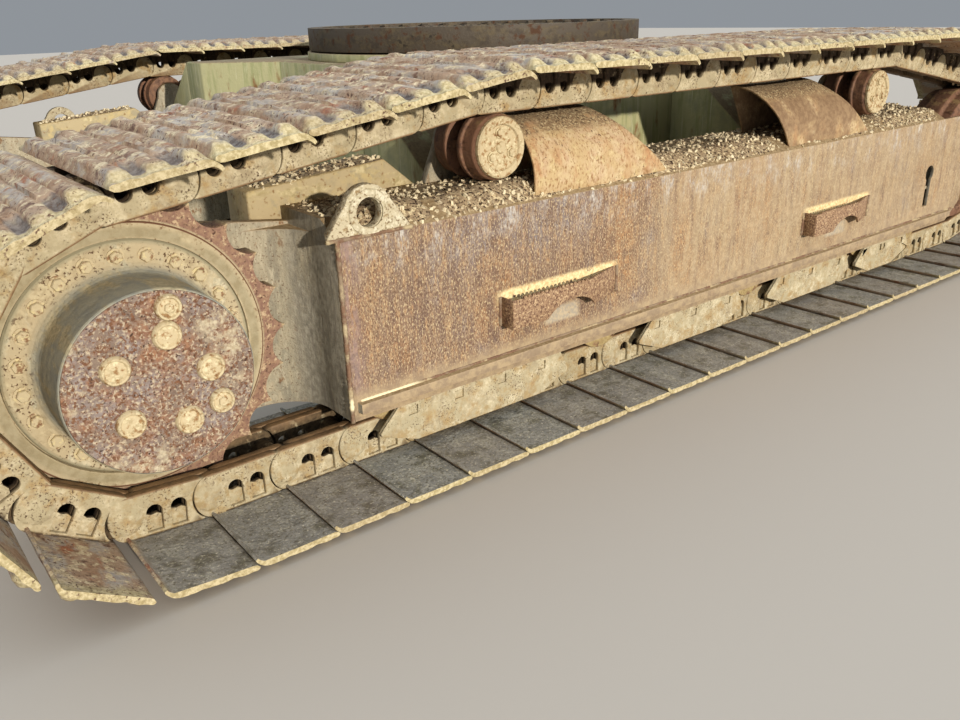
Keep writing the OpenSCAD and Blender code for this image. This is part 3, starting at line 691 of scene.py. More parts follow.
def link_finish():
    skin = Finish("link_steel", "#aea387", 0.9)
    skin.stain(0.09, 0.45, "#bbaf93", 0.95, "#9f9279", 0.02)
    skin.stain(0.05, 0.40, "#d0c5a9", 0.95, "#baae90", 0.010, shift=6, soft=0.12)
    skin.stain(0.05, 0.30, "#9c8360", 0.85, "#b09a70", 0.008, shift=3, soft=0.10)
    gathered = skin.patches(0.07, 0.5, shift=1, soft=0.1)
    skin.coat(skin.within(gathered, 0.006, 0.30, shift=1, detail=4, soft=0.06), "#4e3a2a", 0.85)
    low = skin.inverse(skin.step(skin.height(-0.02, 0.30), 0.2, 0.9))
    skin.coat(skin.within(low, 0.02, 0.35, shift=12, soft=0.1), "#a4906c", 0.9)
    # Dark grime and painted shade on the links' tops and inner faces.
    skin.coat(skin.within(skin.marked("grime_and_shade"), 0.03, 0.8, shift=8), "#43372b", 0.9, "#6a5a44", 0.015)
    # Painted shade: the upper part of the top run's links is darkened where the shoes' shadow falls.
    painted_shade_under_shoes = skin.both(skin.step(skin.marked("shade_height"), -0.010, 0.006), skin.height(0.80, 0.90))
    skin.coat(skin.within(painted_shade_under_shoes, 0.02, 0.85, shift=14), "#3a3026", 0.9, "#57483a", 0.01)
    skin.coat(skin.marked("wear"), "#745c43", 0.6, "#8d7152", 0.02)
    skin.coat(skin.both(skin.marked("tint"), 0.15), "#85734f")
    skin.roughen(0.02, 0.003)
    skin.roughen(0.004, 0.0008, detail=2, shift=5)
    return skin.done()


link_steel = link_finish()
chain = repeated(link_mesh(), link_places, link_steel, seed=2)
both_sides("chain", chain, link_steel, ["track"])

# Sprocket: a cast ring, its teeth worn to points by the chain and bare brown, its
# dished web under pale dust.
def radius_from(skin, axis):
    """Distance of the surface from an axis across the machine."""
    away = skin.vectors("SUBTRACT", skin.place, axis, output="Vector")
    return skin.vectors("LENGTH", skin.vectors("MULTIPLY", away, (1, 0, 1), output="Vector"))


def dressed(node, width):
    """A copy of a solid of the right track unit, with rounded edges, moved back to
    where the unit is drawn."""
    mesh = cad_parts[node + "_right"].data.copy()
    mesh.transform(to_right.inverted())
    return soften(mesh, width)


def sprocket_finish():
    skin = Finish("sprocket_steel", "#b5a78a", 0.9)
    skin.stain(0.08, 0.5, "#c2b596", 0.95, "#a5967a", 0.02)
    skin.coat(skin.within(skin.patches(0.1, 0.5, shift=3), 0.009, 0.24, detail=3), "#7d6247", 0.85)
    spread = radius_from(skin, sprocket_axis)
    teeth = skin.step(spread, 0.335, 0.342)
    ring = skin.between(spread, 0.294, 0.302, 0.316, 0.328)
    skin.coat(skin.within(ring, 0.2, 0.8), "#a89d82", 0.9, "#988c70", 0.03)
    skin.coat(teeth, "#87695a", 0.75, "#9a7d66", 0.012)
    skin.coat(skin.within(teeth, 0.012, 0.28, shift=8, soft=0.06), "#bda688", 0.85)
    skin.coat(skin.within(teeth, 0.010, 0.26, shift=4, soft=0.06), "#553d32", 0.85)
    # A dark ring at the teeth's root: partly the joint, partly painted shade beside the ring.
    skin.coat(skin.between(spread, 0.330, 0.332, 0.334, 0.336), "#6b4c38", 0.85)
    skin.coat(skin.step(spread, 0.385, 0.400), "#c8b994", 0.8, "#a08a6c", 0.012)
    skin.roughen(0.02, 0.003)
    skin.roughen(0.004, 0.0006, detail=2)
    return skin.done()


sprocket_steel = sprocket_finish()
both_sides("sprocket_ring", dressed("sprocket", 0.005), sprocket_steel, ["sprocket"])

# Final drive: a cast hub turned with its flange. Its rusty face carries five pressed
# caps over the planet pins and two oil plugs, and a ring of bolts holds the sprocket.
web_out = 0.020
flange_out = 0.290
drum = 0.221
hub_face = 0.239
flange_face = 0.044
cone_start = 0.262
hub_profile = (
    [(0, -web_out - 0.0003), (0.2945, -web_out - 0.0003), (0.2940, -0.034), (flange_out, -0.040),
     (0.283, -0.0435), (0.276, -flange_face), (cone_start, -flange_face)]
    + [(cone_start - (cone_start - drum) * math.sin(a), -flange_face - 0.045 * (1 - math.cos(a)))
       for a in [math.radians(15 * i) for i in range(1, 7)]]
    + [(drum, -0.200), (drum, -0.232), (drum - 0.002, -0.237), (drum - 0.006, -hub_face),
       (drum - 0.016, -hub_face - 0.001), (drum - 0.020, -hub_face), (0, -hub_face)])
hub = turned(hub_profile, 96, z=sprocket_axis.z)


def hub_finish():
    skin = Finish("hub_paint", "#b5a78a", 0.9)
    skin.stain(0.10, 0.5, "#c2b596", 0.95, "#a5967a", 0.02)
    skin.stain(0.05, 0.30, "#cbc1a6", 0.95, "#a8a28c", 0.012, stretch=(1, 1, 2), shift=9)
    gathered = skin.patches(0.1, 0.6, shift=3)
    skin.coat(skin.within(gathered, 0.010, 0.30, detail=3, soft=0.03), "#5f4a36", 0.85)
    out = skin.outboard()
    spread = radius_from(skin, sprocket_axis)
    skin.coat(skin.within(skin.step(spread, 0.280, 0.292), 0.2, 0.8, shift=1), "#9f987f", 0.95)
    side = skin.both(skin.step(out, half_gauge + 0.046, half_gauge + 0.075), skin.step(spread, 0.214, 0.218))
    skin.coat(side, "#a8a594", 0.85, "#94958c", 0.03)
    skin.coat(skin.within(side, 0.06, 0.40, (1, 2.5, 1), shift=7), "#bdb294", 0.9, "#a29a80", 0.01)
    face = skin.step(out, half_gauge + 0.2375, half_gauge + 0.2385)
    skin.coat(face, "#8a796b", 0.85, "#79695e", 0.04)
    skin.coat(skin.within(face, 0.09, 0.45, shift=5), "#918681", 0.85, "#7f7068", 0.015)
    skin.coat(skin.within(face, 0.05, 0.30, shift=19, soft=0.12), "#9a7458", 0.85, "#866350", 0.012)
    skin.coat(skin.within(face, 0.008, 0.34, shift=2, detail=4, soft=0.08), "#b0a08a", 0.9, "#bfb199", 0.008)
    skin.coat(skin.within(face, 0.007, 0.36, shift=8, detail=4, soft=0.05), "#6a4c3a", 0.85, "#7c573e", 0.01)
    skin.coat(skin.within(face, 0.007, 0.18, shift=15, detail=4, soft=0.04), "#3f2e26", 0.85)
    rim = skin.within(skin.step(spread, 0.10, 0.20), 0.12, 0.34, shift=12)
    skin.coat(skin.both(face, rim, skin.patches(0.012, 0.7, shift=6)), "#c8bda2", 0.9, "#b0a288", 0.008)
    skin.raise_by(skin.both(face, skin.grain(0.009, detail=3)), 0.0035)
    skin.roughen(0.02, 0.0025)
    return skin.done()


hub_paint = hub_finish()
both_sides("hub", hub, hub_paint, ["final_drive"])

teeth = 23
tooth_first = math.pi / 2 + rise + math.pi / teeth
bolt_circle = 0.256


def around(count, first, radius, y, x=0.0, z=sprocket_axis.z):
    """Places on a circle about an axis across the machine, facing outboard."""
    turns = [first + i * 2 * math.pi / count for i in range(count)]
    return [((x + radius * math.cos(a), y, z + radius * math.sin(a)), (math.pi / 2, -a, 0)) for a in turns]


def bolt_finish():
    skin = Finish("bolt_rust", "#bfb192", 0.9)
    skin.stain(0.016, 0.30, "#7d6048", 0.8, "#937556", 0.006)
    skin.stain(0.010, 0.3, "#cdbf96", 0.95, shift=4)
    skin.roughen(0.008, 0.002)
    return skin.done()


bolt_rust = bolt_finish()
flange_bolts = repeated(
    hexagon(0.0158, 0.012, 0.003), around(teeth, tooth_first, bolt_circle, -flange_face), bolt_rust)
both_sides("flange_bolts", flange_bolts, bolt_rust)


def cap_mesh(radius, height):
    """A pressed cap with a rolled rim and a shallow crown."""
    mesh = turned([(0, height * 0.80), (radius * 0.55, height * 0.72), (radius * 0.70, height * 0.55),
                   (radius * 0.78, height * 0.92), (radius * 0.90, height), (radius, height * 0.6),
                   (radius * 1.04, 0), (radius * 1.04, -0.004)], 32)
    mesh.transform(Matrix.Rotation(-math.pi / 2, 4, "X") @ Matrix.Scale(-1, 4, (0, 1, 0)))
    return soften(mesh)


def cap_finish():
    skin = Finish("cap_cream", "#c1b190", 0.85)
    skin.stain(0.02, 0.45, "#d6caa8", 0.9, "#ac9b7a", 0.008)
    skin.stain(0.014, 0.32, "#8a6a48", 0.85, "#a1835c", 0.006, shift=5)
    skin.roughen(0.01, 0.002)
    return skin.done()


cap_cream = cap_finish()
planet_circle = 0.113
planet_first = math.radians(5)
caps = repeated(cap_mesh(0.033, 0.010), around(5, planet_first, planet_circle, -hub_face), cap_cream)
plug_places = [around(1, math.radians(a), r, -hub_face)[0] for a, r in ((77.6, 0.178), (-32.2, 0.149))]
plugs = repeated(joined([cap_mesh(0.030, 0.012), hexagon(0.012, 0.014)]), plug_places, cap_cream)
both_sides("planet_caps", caps, cap_cream)
both_sides("oil_plugs", plugs, cap_cream)

# Travel motor: the drive's inner housing, its flange, the motor and its end cover, dark
# with oil and dust. Bolts ring its flange and its cover, and a block takes the hoses.
def motor_finish():
    skin = Finish("motor_paint", "#5f5b4e", 0.7)
    skin.stain(0.10, 0.45, "#6f6a58", 0.8, "#544d42", 0.03)
    skin.stain(0.05, 0.25, "#3f3a33", 0.45, stretch=(1, 1, 3), shift=5)
    skin.stain(0.10, 0.40, "#8d8067", 0.95, "#a0926f", shift=3)
    skin.coat(skin.within(skin.upward(), 0.05, 0.6, shift=5), "#a0926f", 0.95, "#8d8067", 0.01)
    skin.roughen(0.02, 0.003)
    return skin.done()


motor_paint = motor_finish()
both_sides("motor", dressed("travel_motor", 0.004), motor_paint, ["travel_motor"])
motor_plate_in = 0.155
motor_end = 0.410
inboard_turn = -math.pi / 2
flange_ring = [(spot, (inboard_turn, turn[1], 0)) for spot, turn in around(20, 0.1, 0.228, motor_plate_in)]
cover_ring = [(spot, (inboard_turn, turn[1], 0)) for spot, turn in around(10, 0, 0.092, motor_end)]
motor_bolts = joined([repeated(hexagon(0.015, 0.014, 0.003), flange_ring, motor_paint),
                      repeated(hexagon(0.009, 0.009), cover_ring, motor_paint)])
both_sides("motor_bolts", motor_bolts, motor_paint)


def box_mesh(low, high, width):
    """A box with rounded edges, between two corners."""
    form = bmesh.new()
    bmesh.ops.create_cube(form, size=1)
    for vert in form.verts:
        vert.co = [(a + b) / 2 + (b - a) * c for a, b, c in zip(low, high, vert.co)]
    bmesh.ops.bevel(form, geom=form.edges, offset=width, segments=2, affect="EDGES")
    return meshed(form, "box")


port_block = [
    box_mesh((-0.062, 0.215, sprocket_axis.z + 0.13), (0.062, 0.315, sprocket_axis.z + 0.205), 0.006)]
for x in (-0.032, 0.032):
    port = turned([(0, 0.33), (0.016, 0.33), (0.016, 0.322), (0.022, 0.320), (0.022, 0.305)], 20, x,
                  sprocket_axis.z + 0.168)
    port_block.append(port)
both_sides("port_block", joined(port_block), motor_paint)

# Side frame: a welded box beam. Its outer plate is rusted through in streaks that run
# down from the roof, and the paint is left on the faces that weather less.
frame_face = 0.155
frame_foot = 0.205
frame_head = 0.727
frame_start = 0.516
frame_reach = base - 0.420


def frame_finish():
    skin = Finish("frame_paint", "#aaa08a", 0.8)
    skin.stain(0.20, 0.5, "#9c9684", 0.85, "#b5aa92", 0.05, stretch=(1, 1, 2), soft=0.12)
    skin.stain(0.05, 0.30, "#8f897a", 0.85, stretch=(1, 1, 3), soft=0.16)
    skin.stain(0.010, 0.26, "#c2b9a2", 0.9, stretch=(1, 1, 4), soft=0.16, shift=3)
    skin.stain(0.03, 0.14, "#86694c", 0.85, stretch=(1, 1, 2), shift=6)
    skin.stain(0.006, 0.20, "#75624f", 0.85, shift=8, detail=3, soft=0.06)
    plate_out = half_gauge + frame_face
    side = skin.both(skin.step(skin.outward(), 0.6, 0.9),
                     skin.step(skin.outboard(), plate_out - 0.006, plate_out - 0.002))
    along = skin.part_of(skin.place, "X")
    level = skin.part_of(skin.place, "Z")
    zone = skin.math("MULTIPLY_ADD", skin.grain(0.25, (1, 1, 1.6), shift=7), 0.7, along, clamp=False)
    plate_start = sprocket_axis.x + frame_start
    wander_start = plate_start + 0.35

    def span(start, end, soft=0.03, value=along, origin=plate_start):
        """The part of the plate between two distances from its rear edge."""
        start += origin
        end += origin
        return skin.between(value, start - soft, start + soft, end - soft, end + soft)

    def beyond(start, end):
        """The part past a wavering upright line, faded in over that range."""
        return skin.step(zone, wander_start + start, wander_start + end)

    skin.coat(side, "#937d69", 0.8, "#857161", 0.08)
    skin.coat(skin.both(side, beyond(1.0, 1.7)), "#b8aa8e", 0.8, "#a99675", 0.10)
    skin.coat(skin.both(side, beyond(2.2, 2.6)), "#a08f7a", 0.8, "#b3a081", 0.08)
    warm = skin.patches(0.18, 0.40, (1, 1, 2.5), soft=0.10, shift=2)
    skin.coat(skin.both(side, warm), "#a67b50", 0.8, "#967758", 0.03)
    cool = skin.both(span(0.33, 1.00, 0.18, zone, wander_start), skin.height(0.48, 0.66))
    cool = skin.either(skin.within(cool, 0.06, 0.8, (1, 1, 2), soft=0.2),
                       skin.patches(0.12, 0.24, (1, 1, 2), soft=0.12, shift=8))
    skin.coat(skin.both(side, cool), "#7f7879", 0.8, "#938a86", 0.02)
    skin.coat(skin.within(side, 0.035, 0.36, (1, 1, 7), soft=0.16, shift=14), "#6f5a50", 0.8)
    skin.coat(skin.within(side, 0.012, 0.34, (1, 1, 4), soft=0.16, shift=4), "#b79e7b", 0.8, "#b08a62", 0.01)
    skin.coat(skin.within(side, 0.009, 0.36, (1, 1, 4), soft=0.16, shift=1), "#76604f", 0.8)
    skin.coat(skin.within(side, 0.0045, 0.34, (1, 1, 2), soft=0.10, shift=21, detail=3), "#634c3d", 0.85)
    skin.coat(skin.within(side, 0.0045, 0.26, (1, 1, 2), soft=0.10, shift=27, detail=3), "#c8b592", 0.85)
    tan = skin.within(beyond(1.0, 1.5), 0.03, 0.62, (1, 1, 6), soft=0.22, shift=31)
    skin.coat(skin.both(side, tan, 0.72), "#bba88a", 0.85, "#a89476", 0.02)
    wash = skin.both(skin.height(0.56, 0.70), skin.patches(0.05, 0.34, (1, 1, 2), soft=0.14, shift=5),
                     skin.patches(0.007, 0.5, (1, 1, 3), soft=0.14, shift=3))
    skin.coat(skin.both(side, wash), "#cac3b8", 0.9, "#a5a09c", 0.012)
    corner = skin.within(span(-0.1, 0.05), 0.012, 0.5, (1, 1, 4), soft=0.16)
    skin.coat(skin.both(side, corner), "#83706a", 0.8, "#9b8378", 0.02)
    over_steps = skin.both(side, skin.either(span(0.54, 1.05), span(2.19, 2.69)),
                           skin.between(level, 0.425, 0.430, 0.462, 0.480))
    skin.coat(skin.within(over_steps, 0.02, 0.8, shift=12), "#f0e0b0", 0.9, "#d8b988", 0.012)
    # Painted light: pale patches on the plate under the steps' arches, where sunlight passes under the
    # straps.
    painted_light_under_arches = skin.both(side, skin.either(span(0.73, 0.88, 0.015), span(2.37, 2.52, 0.015)),
                             skin.between(level, 0.310, 0.325, 0.362, 0.380))
    skin.coat(skin.within(painted_light_under_arches, 0.03, 0.8, shift=5), "#bbab90", 0.9, "#a2998b", 0.012)
    foot = skin.within(skin.inverse(skin.height(0.262, 0.320)), 0.2, 0.75, shift=3)
    skin.coat(skin.both(side, foot), "#94826c", 0.85, "#ae9a7c", 0.03)
    skin.coat(skin.within(skin.edges(0.008), 0.02, 0.75, shift=2), "#9c8470", 0.75, "#baa588", 0.02)
    rear = skin.step(skin.math("MULTIPLY", skin.part_of(skin.normal, "X"), -1.0), 0.6, 0.9)
    skin.coat(skin.within(rear, 0.10, 0.75, (1, 1, 2), soft=0.12, shift=1), "#a9a394", 0.85, "#8f8a7c", 0.02)
    skin.coat(skin.within(rear, 0.012, 0.28, (1, 1, 6), soft=0.12, shift=2), "#8a8478", 0.85)
    top = skin.upward(0.5, 0.8)
    skin.coat(top, "#a89576", 0.95, "#8d7858", 0.012)
    skin.roughen(0.012, 0.0012, (1, 1, 4))
    skin.roughen(0.05, 0.004)
    skin.roughen(0.005, 0.0016, detail=3)
    return skin.done()


frame_paint = frame_finish()
both_sides("frame", dressed("side_frame", 0.004), frame_paint, ["side_frame"])

# Welds: beads laid by hand along the frame's rear corner, its foot, the lugs and the
# ends of the steps, rusty but for a pale stretch at the foot's rear end.
def bead(points, radius=0.006):
    """A weld bead through the points, rippled by the torch."""
    line = [Vector(p) for p in points]
    spots = []
    for a, b in zip(line, line[1:]):
        count = max(2, int((b - a).length / 0.007))
        spots += [a.lerp(b, i / count) for i in range(count)]
    spots.append(line[-1])
    form = bmesh.new()
    rings = []
    for i, spot in enumerate(spots):
        ahead_of = (spots[min(i + 1, len(spots) - 1)] - spots[max(i - 1, 0)]).normalized()
        side = ahead_of.orthogonal().normalized()
        other = ahead_of.cross(side)
        size = radius * (1 + 0.30 * noise.noise(spot * 90) + (0.10 if i % 2 else -0.05))
        rings.append([form.verts.new(spot + size * (math.cos(a) * side + math.sin(a) * other))
                      for a in [math.pi * k / 3 for k in range(6)]])
    bridged(form, rings)
    mesh = meshed(form, "bead")
    mesh.shade_smooth()
    return mesh


def weld_finish():
    skin = Finish("weld", "#917f6a", 0.85)
    skin.stain(0.05, 0.5, "#866a55", 0.85, "#765c4a", 0.02)
    skin.stain(0.06, 0.32, "#b5a585", 0.9, shift=4)
    along = skin.part_of(skin.place, "X")
    rear = skin.inverse(skin.step(along, sprocket_axis.x + 0.71, sprocket_axis.x + 0.76))
    foot = skin.between(skin.part_of(skin.place, "Z"), 0.24, 0.25, 0.27, 0.29)
    skin.coat(skin.both(rear, foot), "#e9dcb8", 0.9)
    skin.roughen(0.006, 0.0015)
    return skin.done()


weld_paint = weld_finish()
lug_place = frame_start + 0.102
lug_half = 0.134
step_starts = (frame_start + 0.543, frame_start + 2.181)
step_foot = 0.362
step_head = 0.455
step_length = 0.511
beads = [
    bead([(frame_start, -frame_face, frame_foot), (frame_start, -frame_face, frame_head)], 0.007),
    bead([(frame_start + 0.03, -frame_face, 0.263), (base - 0.16, -frame_face, 0.263)], 0.005),
    bead([(x, -frame_face, frame_head) for x in (lug_place - lug_half, lug_place + lug_half)], 0.006)]
for x in step_starts:
    for end in (x - 0.002, x + step_length + 0.002):
        beads.append(bead([(end, -frame_face, step_foot), (end, -frame_face, step_head)], 0.007))
both_sides("welds", joined(beads), weld_paint)

# Roller guards: boat-shaped plates under the frame's foot, dusty like the chain, with
# square pockets near their heads.
roller_first = frame_start + 0.165
roller_step = (base - 0.420 - 0.130 - roller_first) / 7
guard_spans = [(roller_first + a * roller_step, roller_first + b * roller_step)
               for a, b in ((-0.19, 1.55), (2.37, 3.80), (4.19, 5.66), (5.78, 6.90))]
guards = []
for start, end in guard_spans:
    outline = [
        (start + 0.07, frame_foot), (start + 0.004, 0.140), (start + 0.006, 0.128), (start + 0.13, 0.080),
        (end - 0.13, 0.080), (end - 0.006, 0.128), (end - 0.003, 0.140), (end - 0.035, frame_foot)]
    count = 4 if start < 1 else 3
    pockets = [start + (end - start) * (0.16 + 0.68 * k / (count - 1)) for k in range(count)]
    holes = [[(x - 0.017, 0.166), (x + 0.017, 0.166), (x + 0.017, 0.194), (x - 0.017, 0.194)]
             for x in pockets]
    for flip in (-1, 1):
        face, pocket_floor, back = (flip * (frame_face - depth) for depth in (0, 0.007, 0.016))
        guards.append(plate([outline] + holes, *sorted((face, pocket_floor))))
        guards.append(plate([outline], *sorted((pocket_floor, back))))
both_sides("guards", joined(guards), link_steel, ["roller_guards"])

# Track rollers, idler and yoke: castings that carry the chain, bare and brown on their
# treads, dusty on their ends. The yoke holds the idler's axle in the frame's front end.
def roller_finish():
    skin = Finish("roller_rust", "#80604c", 0.75)
    skin.stain(0.06, 0.5, "#6b5142", 0.7, "#8f6f57", 0.02)
    skin.stain(0.03, 0.25, "#5c4131", 0.6, stretch=(1, 4, 1), shift=5)
    from_chain = skin.absolute(skin.math("SUBTRACT", skin.outboard(), half_gauge, clamp=False))
    ends = skin.both(skin.step(skin.absolute(skin.part_of(skin.normal, "Y")), 0.6, 0.9),
                     skin.step(from_chain, 0.100, 0.106))
    skin.coat(skin.within(ends, 0.06, 0.7, shift=3), "#b8a67b", 0.9, "#a08b62", 0.012)
    skin.coat(skin.within(skin.upward(0.5, 0.95), 0.04, 0.35, shift=8), "#a08762", 0.95)
    skin.roughen(0.02, 0.003)
    skin.roughen(0.005, 0.0008, detail=3)
    return skin.done()


roller_rust = roller_finish()
both_sides("rollers", dressed("track_rollers", 0.004), roller_rust, ["track_rollers"])
both_sides("front_idler", dressed("idler", 0.005), roller_rust, ["idler"])
both_sides("yoke", dressed("idler_yoke", 0.004), frame_paint, ["idler_yoke"])

# Carrier rollers: two treads and a groove, and on the outer end a pale cap with a broad
# rim, three bolts and a plug in the middle.
carriers_low, carriers_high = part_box("carrier_rollers_right")
carrier_radius = (carriers_high.z - carriers_low.z) / 2
carrier_z = (carriers_high.z + carriers_low.z) / 2
carrier_xs = [
    carriers_low.x + carrier_radius - sprocket_axis.x, carriers_high.x - carrier_radius - sprocket_axis.x]
both_sides("carriers", dressed("carrier_rollers", 0.006), roller_rust, ["carrier_rollers"])
cap_plane = -0.106
cap_rim = [(0, -0.001), (0.064, -0.001), (0.068, -0.007), (0.084, -0.008), (0.089, -0.004), (0.090, 0.006)]
cap_plug = [(0, -0.007), (0.014, -0.007), (0.017, -0.004), (0.018, 0)]
carrier_caps = []
cap_bolts = []
for x in carrier_xs:
    for profile, steps in ((cap_rim, 40), (cap_plug, 24)):
        carrier_caps.append(turned([(r, cap_plane + y) for r, y in profile], steps, x, carrier_z))
    cap_bolts += around(3, math.radians(95), 0.043, cap_plane - 0.001, x, carrier_z)
carrier_caps.append(repeated(hexagon(0.013, 0.009, 0.003), cap_bolts, cap_cream))
both_sides("carrier_caps", joined(carrier_caps), cap_cream)
both_sides("brackets", dressed("carrier_brackets", 0.004), frame_paint,
           ["carrier_brackets"])

# Mud covers: bent steel sheets that shed earth from the frame's roof, one beside each
# carrier roller, dented and rusted orange, the front one browner. The seed makes the
# dents and the crumbs further down the same on each run.
dent_seed = 3
noise.seed_set(dent_seed)


def dented(mesh, depth, size):
    """Cuts a mesh across its length and pushes it in and out in shallow dents."""
    spacing = 0.04
    form = bmesh.new()
    form.from_mesh(mesh)
    low = min(v.co.x for v in form.verts)
    high = max(v.co.x for v in form.verts)
    for i in range(1, int((high - low) / spacing)):
        bmesh.ops.bisect_plane(form, geom=form.verts[:] + form.edges[:] + form.faces[:], dist=1e-5,
                               plane_co=(low + i * spacing, 0, 0), plane_no=(1, 0, 0))
    for vert in form.verts:
        push = noise.noise_vector(vert.co / size)
        vert.co += Vector((0.3 * push.x, push.y, push.z)) * depth
    form.to_mesh(mesh)
    form.free()
    mesh.shade_smooth()
    mesh.set_sharp_from_angle(angle=crease)
    return mesh


def cover_finish():
    skin = Finish("cover_rust", "#bda57e", 0.85)
    skin.stain(0.10, 0.5, "#bda284", 0.85, "#cdbb98", 0.03, soft=0.1)
    skin.stain(0.06, 0.34, "#ac8460", 0.8, "#b9936c", 0.01, stretch=(1, 1.5, 2), shift=3, soft=0.12)
    skin.stain(0.03, 0.26, "#d0bd94", 0.9, "#bba67c", 0.01, shift=7, soft=0.1)
    skin.stain(0.007, 0.28, "#94734f", 0.85, stretch=(1, 1, 2), shift=13, detail=3, soft=0.10)
    specks = skin.within(skin.patches(0.12, 0.4, shift=1), 0.010, 0.16, detail=3, soft=0.03)
    skin.coat(specks, "#5a4230", 0.85)
    halfway = sprocket_axis.x + sum(carrier_xs) / 2
    front = skin.step(skin.part_of(skin.place, "X"), halfway - 0.05, halfway + 0.05)
    skin.coat(skin.within(front, 0.10, 0.68, soft=0.12, shift=15), "#9a8265", 0.85, "#866e55", 0.02)
    crest = skin.either(
        skin.within(skin.upward(0.66, 0.80), 0.05, 0.75, shift=9), skin.upward(0.88, 0.96))
    skin.coat(crest, "#8a745a", 0.95, "#a28c6c", 0.012)
    skin.coat(skin.within(crest, 0.008, 0.32, shift=4, detail=3), "#d2c19c", 0.95)
    skin.coat(skin.within(crest, 0.008, 0.26, shift=8, detail=3), "#4c3b2d", 0.95)
    skin.roughen(0.03, 0.004)
    skin.roughen(0.006, 0.0015, detail=3)
    return skin.done()


cover_rust = cover_finish()
both_sides("covers", dented(dressed("mud_covers", 0.002), 0.006, 0.16), cover_rust,
           ["mud_covers"])

# Hose cover: a box bent from plate beside the frame's rear end, over the travel motor's
# hoses, its paint more yellow than the frame's.
def hose_finish():
    skin = Finish("hose_paint", "#b3a382", 0.85)
    skin.stain(0.10, 0.5, "#bba97e", 0.85, "#a0957c", 0.03)
    skin.stain(0.04, 0.30, "#c8ba94", 0.9, "#a3946e", 0.02, stretch=(3, 1, 1), shift=4)
    skin.stain(0.02, 0.20, "#8a6e48", 0.85, shift=7)
    skin.coat(skin.upward(), "#c0ad84", 0.95, "#a08c66", 0.01)
    skin.roughen(0.03, 0.003)
    return skin.done()


hose_paint = hose_finish()
both_sides("hose_box", dented(dressed("hose_cover", 0.006), 0.004, 0.2), hose_paint,
           ["hose_cover"])

# Steps: bent straps welded to the outer plate, rusty, their top edges cut into teeth
# for boots.
step_out = -frame_face - 0.061
boot_tooth = [(-0.007, -0.003), (0.007, -0.003), (0.006, 0.004), (0, 0.007), (-0.006, 0.004)]
bumps = []
for x in step_starts:
    for k in range(16):
        tooth = [(x + 0.050 + 0.0175 * k + u, step_head + z) for u, z in boot_tooth]
        bumps.append(plate([tooth], step_out, step_out + 0.008, 0.001))


def step_finish():
    skin = Finish("step_rust", "#95795f", 0.85)
    skin.stain(0.05, 0.5, "#a3876a", 0.85, "#8a705c", 0.015)
    skin.stain(0.008, 0.38, "#6a5040", 0.85, shift=3, detail=3)
    skin.stain(0.007, 0.30, "#bfa584", 0.9, shift=8, detail=3)
    skin.roughen(0.010, 0.0025)
    return skin.done()


step_rust = step_finish()
both_sides("step_straps", joined([dressed("steps", 0.002)] + bumps), step_rust, ["steps"])

# Lifting lugs: one on each side, a thick plate welded to the frame's top edge at the
# rear, its hole ringed by a raised collar, pale with dust.
def lug_finish():
    skin = Finish("lug_cream", "#c0b59a", 0.9)
    skin.stain(0.05, 0.5, "#d8d0b8", 0.9, "#b3a88c", 0.012)
    skin.stain(0.02, 0.24, "#a08a68", 0.9, "#86704f", 0.008, shift=5)
    skin.stain(0.008, 0.24, "#715a42", 0.85, shift=2, detail=3)
    skin.roughen(0.02, 0.005)
    skin.roughen(0.006, 0.0015, detail=3)
    return skin.done()


lug_cream = lug_finish()
lug_hole = 0.786
collar_profile = [(0.041, 0.002), (0.041, -0.005), (0.050, -0.007), (0.060, -0.004), (0.064, 0.002)]
collar = turned([(r, y - frame_face) for r, y in collar_profile], 32, lug_place, lug_hole)
both_sides("lugs", joined([dressed("lifting_lugs", 0.006), soften(collar)]), lug_cream,
           ["lifting_lugs"])

# Dirt: a thin crust of earth and dust on the frames' roofs and the hose covers, with
# loose crumbs on it.
def crust(x0, x1, y0, y1, height, depth, seed):
    """A bumpy skin over a surface of that height. It sinks below it where it is thin."""
    cell = 0.02
    nx = int((x1 - x0) / cell)
    ny = max(4, int((y1 - y0) / cell))
    form = bmesh.new()
    grid = []
    for i in range(nx + 1):
        row = []
        for j in range(ny + 1):
            x = x0 + (x1 - x0) * i / nx
            y = y0 + (y1 - y0) * j / ny
            edge = min(i, nx - i, j, ny - j) / 2
            spot = Vector((x, y, seed))
            swell = 0.45 + noise.noise(spot * 5) + 0.5 * noise.noise(spot * 17)
            swell = max(0, swell + 0.4 * noise.noise(spot * 45)) * min(1, edge)
            row.append(form.verts.new((x, y, height(x, y) - 0.002 + depth * swell)))
        grid.append(row)
    for i in range(nx):
        for j in range(ny):
            form.faces.new((grid[i][j], grid[i + 1][j], grid[i + 1][j + 1], grid[i][j + 1]))
    mesh = meshed(form, "crust")
    mesh.shade_smooth()
    return mesh


def roof_height(x, y):
    return 0.773 if y > -0.075 else frame_head + (y + frame_face) * 0.575


hose_start = frame_start - 0.096
hose_slope = 0.450


def hose_height(x, y):
    return 0.822 + 0.040 * (x - hose_start) / hose_slope


def dirt_finish():
    skin = Finish("dirt", "#a8957a", 0.97)
    skin.stain(0.08, 0.5, "#b5a184", 0.97, "#8f7a5e", 0.01)
    skin.stain(0.012, 0.36, "#dccba6", 0.97, shift=4, soft=0.03)
    skin.stain(0.010, 0.36, "#4a3a2c", 0.97, shift=8, soft=0.03)
    pale = skin.step(skin.marked("tint"), 0.3, 0.9)
    skin.coat(pale, "#e2d5b6", 0.97)
    skin.roughen(0.008, 0.004)
    return skin.done()


dirt = dirt_finish()
roof_crust = crust(frame_start + 0.01, frame_reach - 0.01, -0.152, 0.150, roof_height, 0.016, 3.0)
hose_crust = crust(hose_start + 0.01, hose_start + hose_slope, 0.160, 0.290, hose_height, 0.008, 9.0)
ground_dirt = joined([roof_crust, hose_crust])


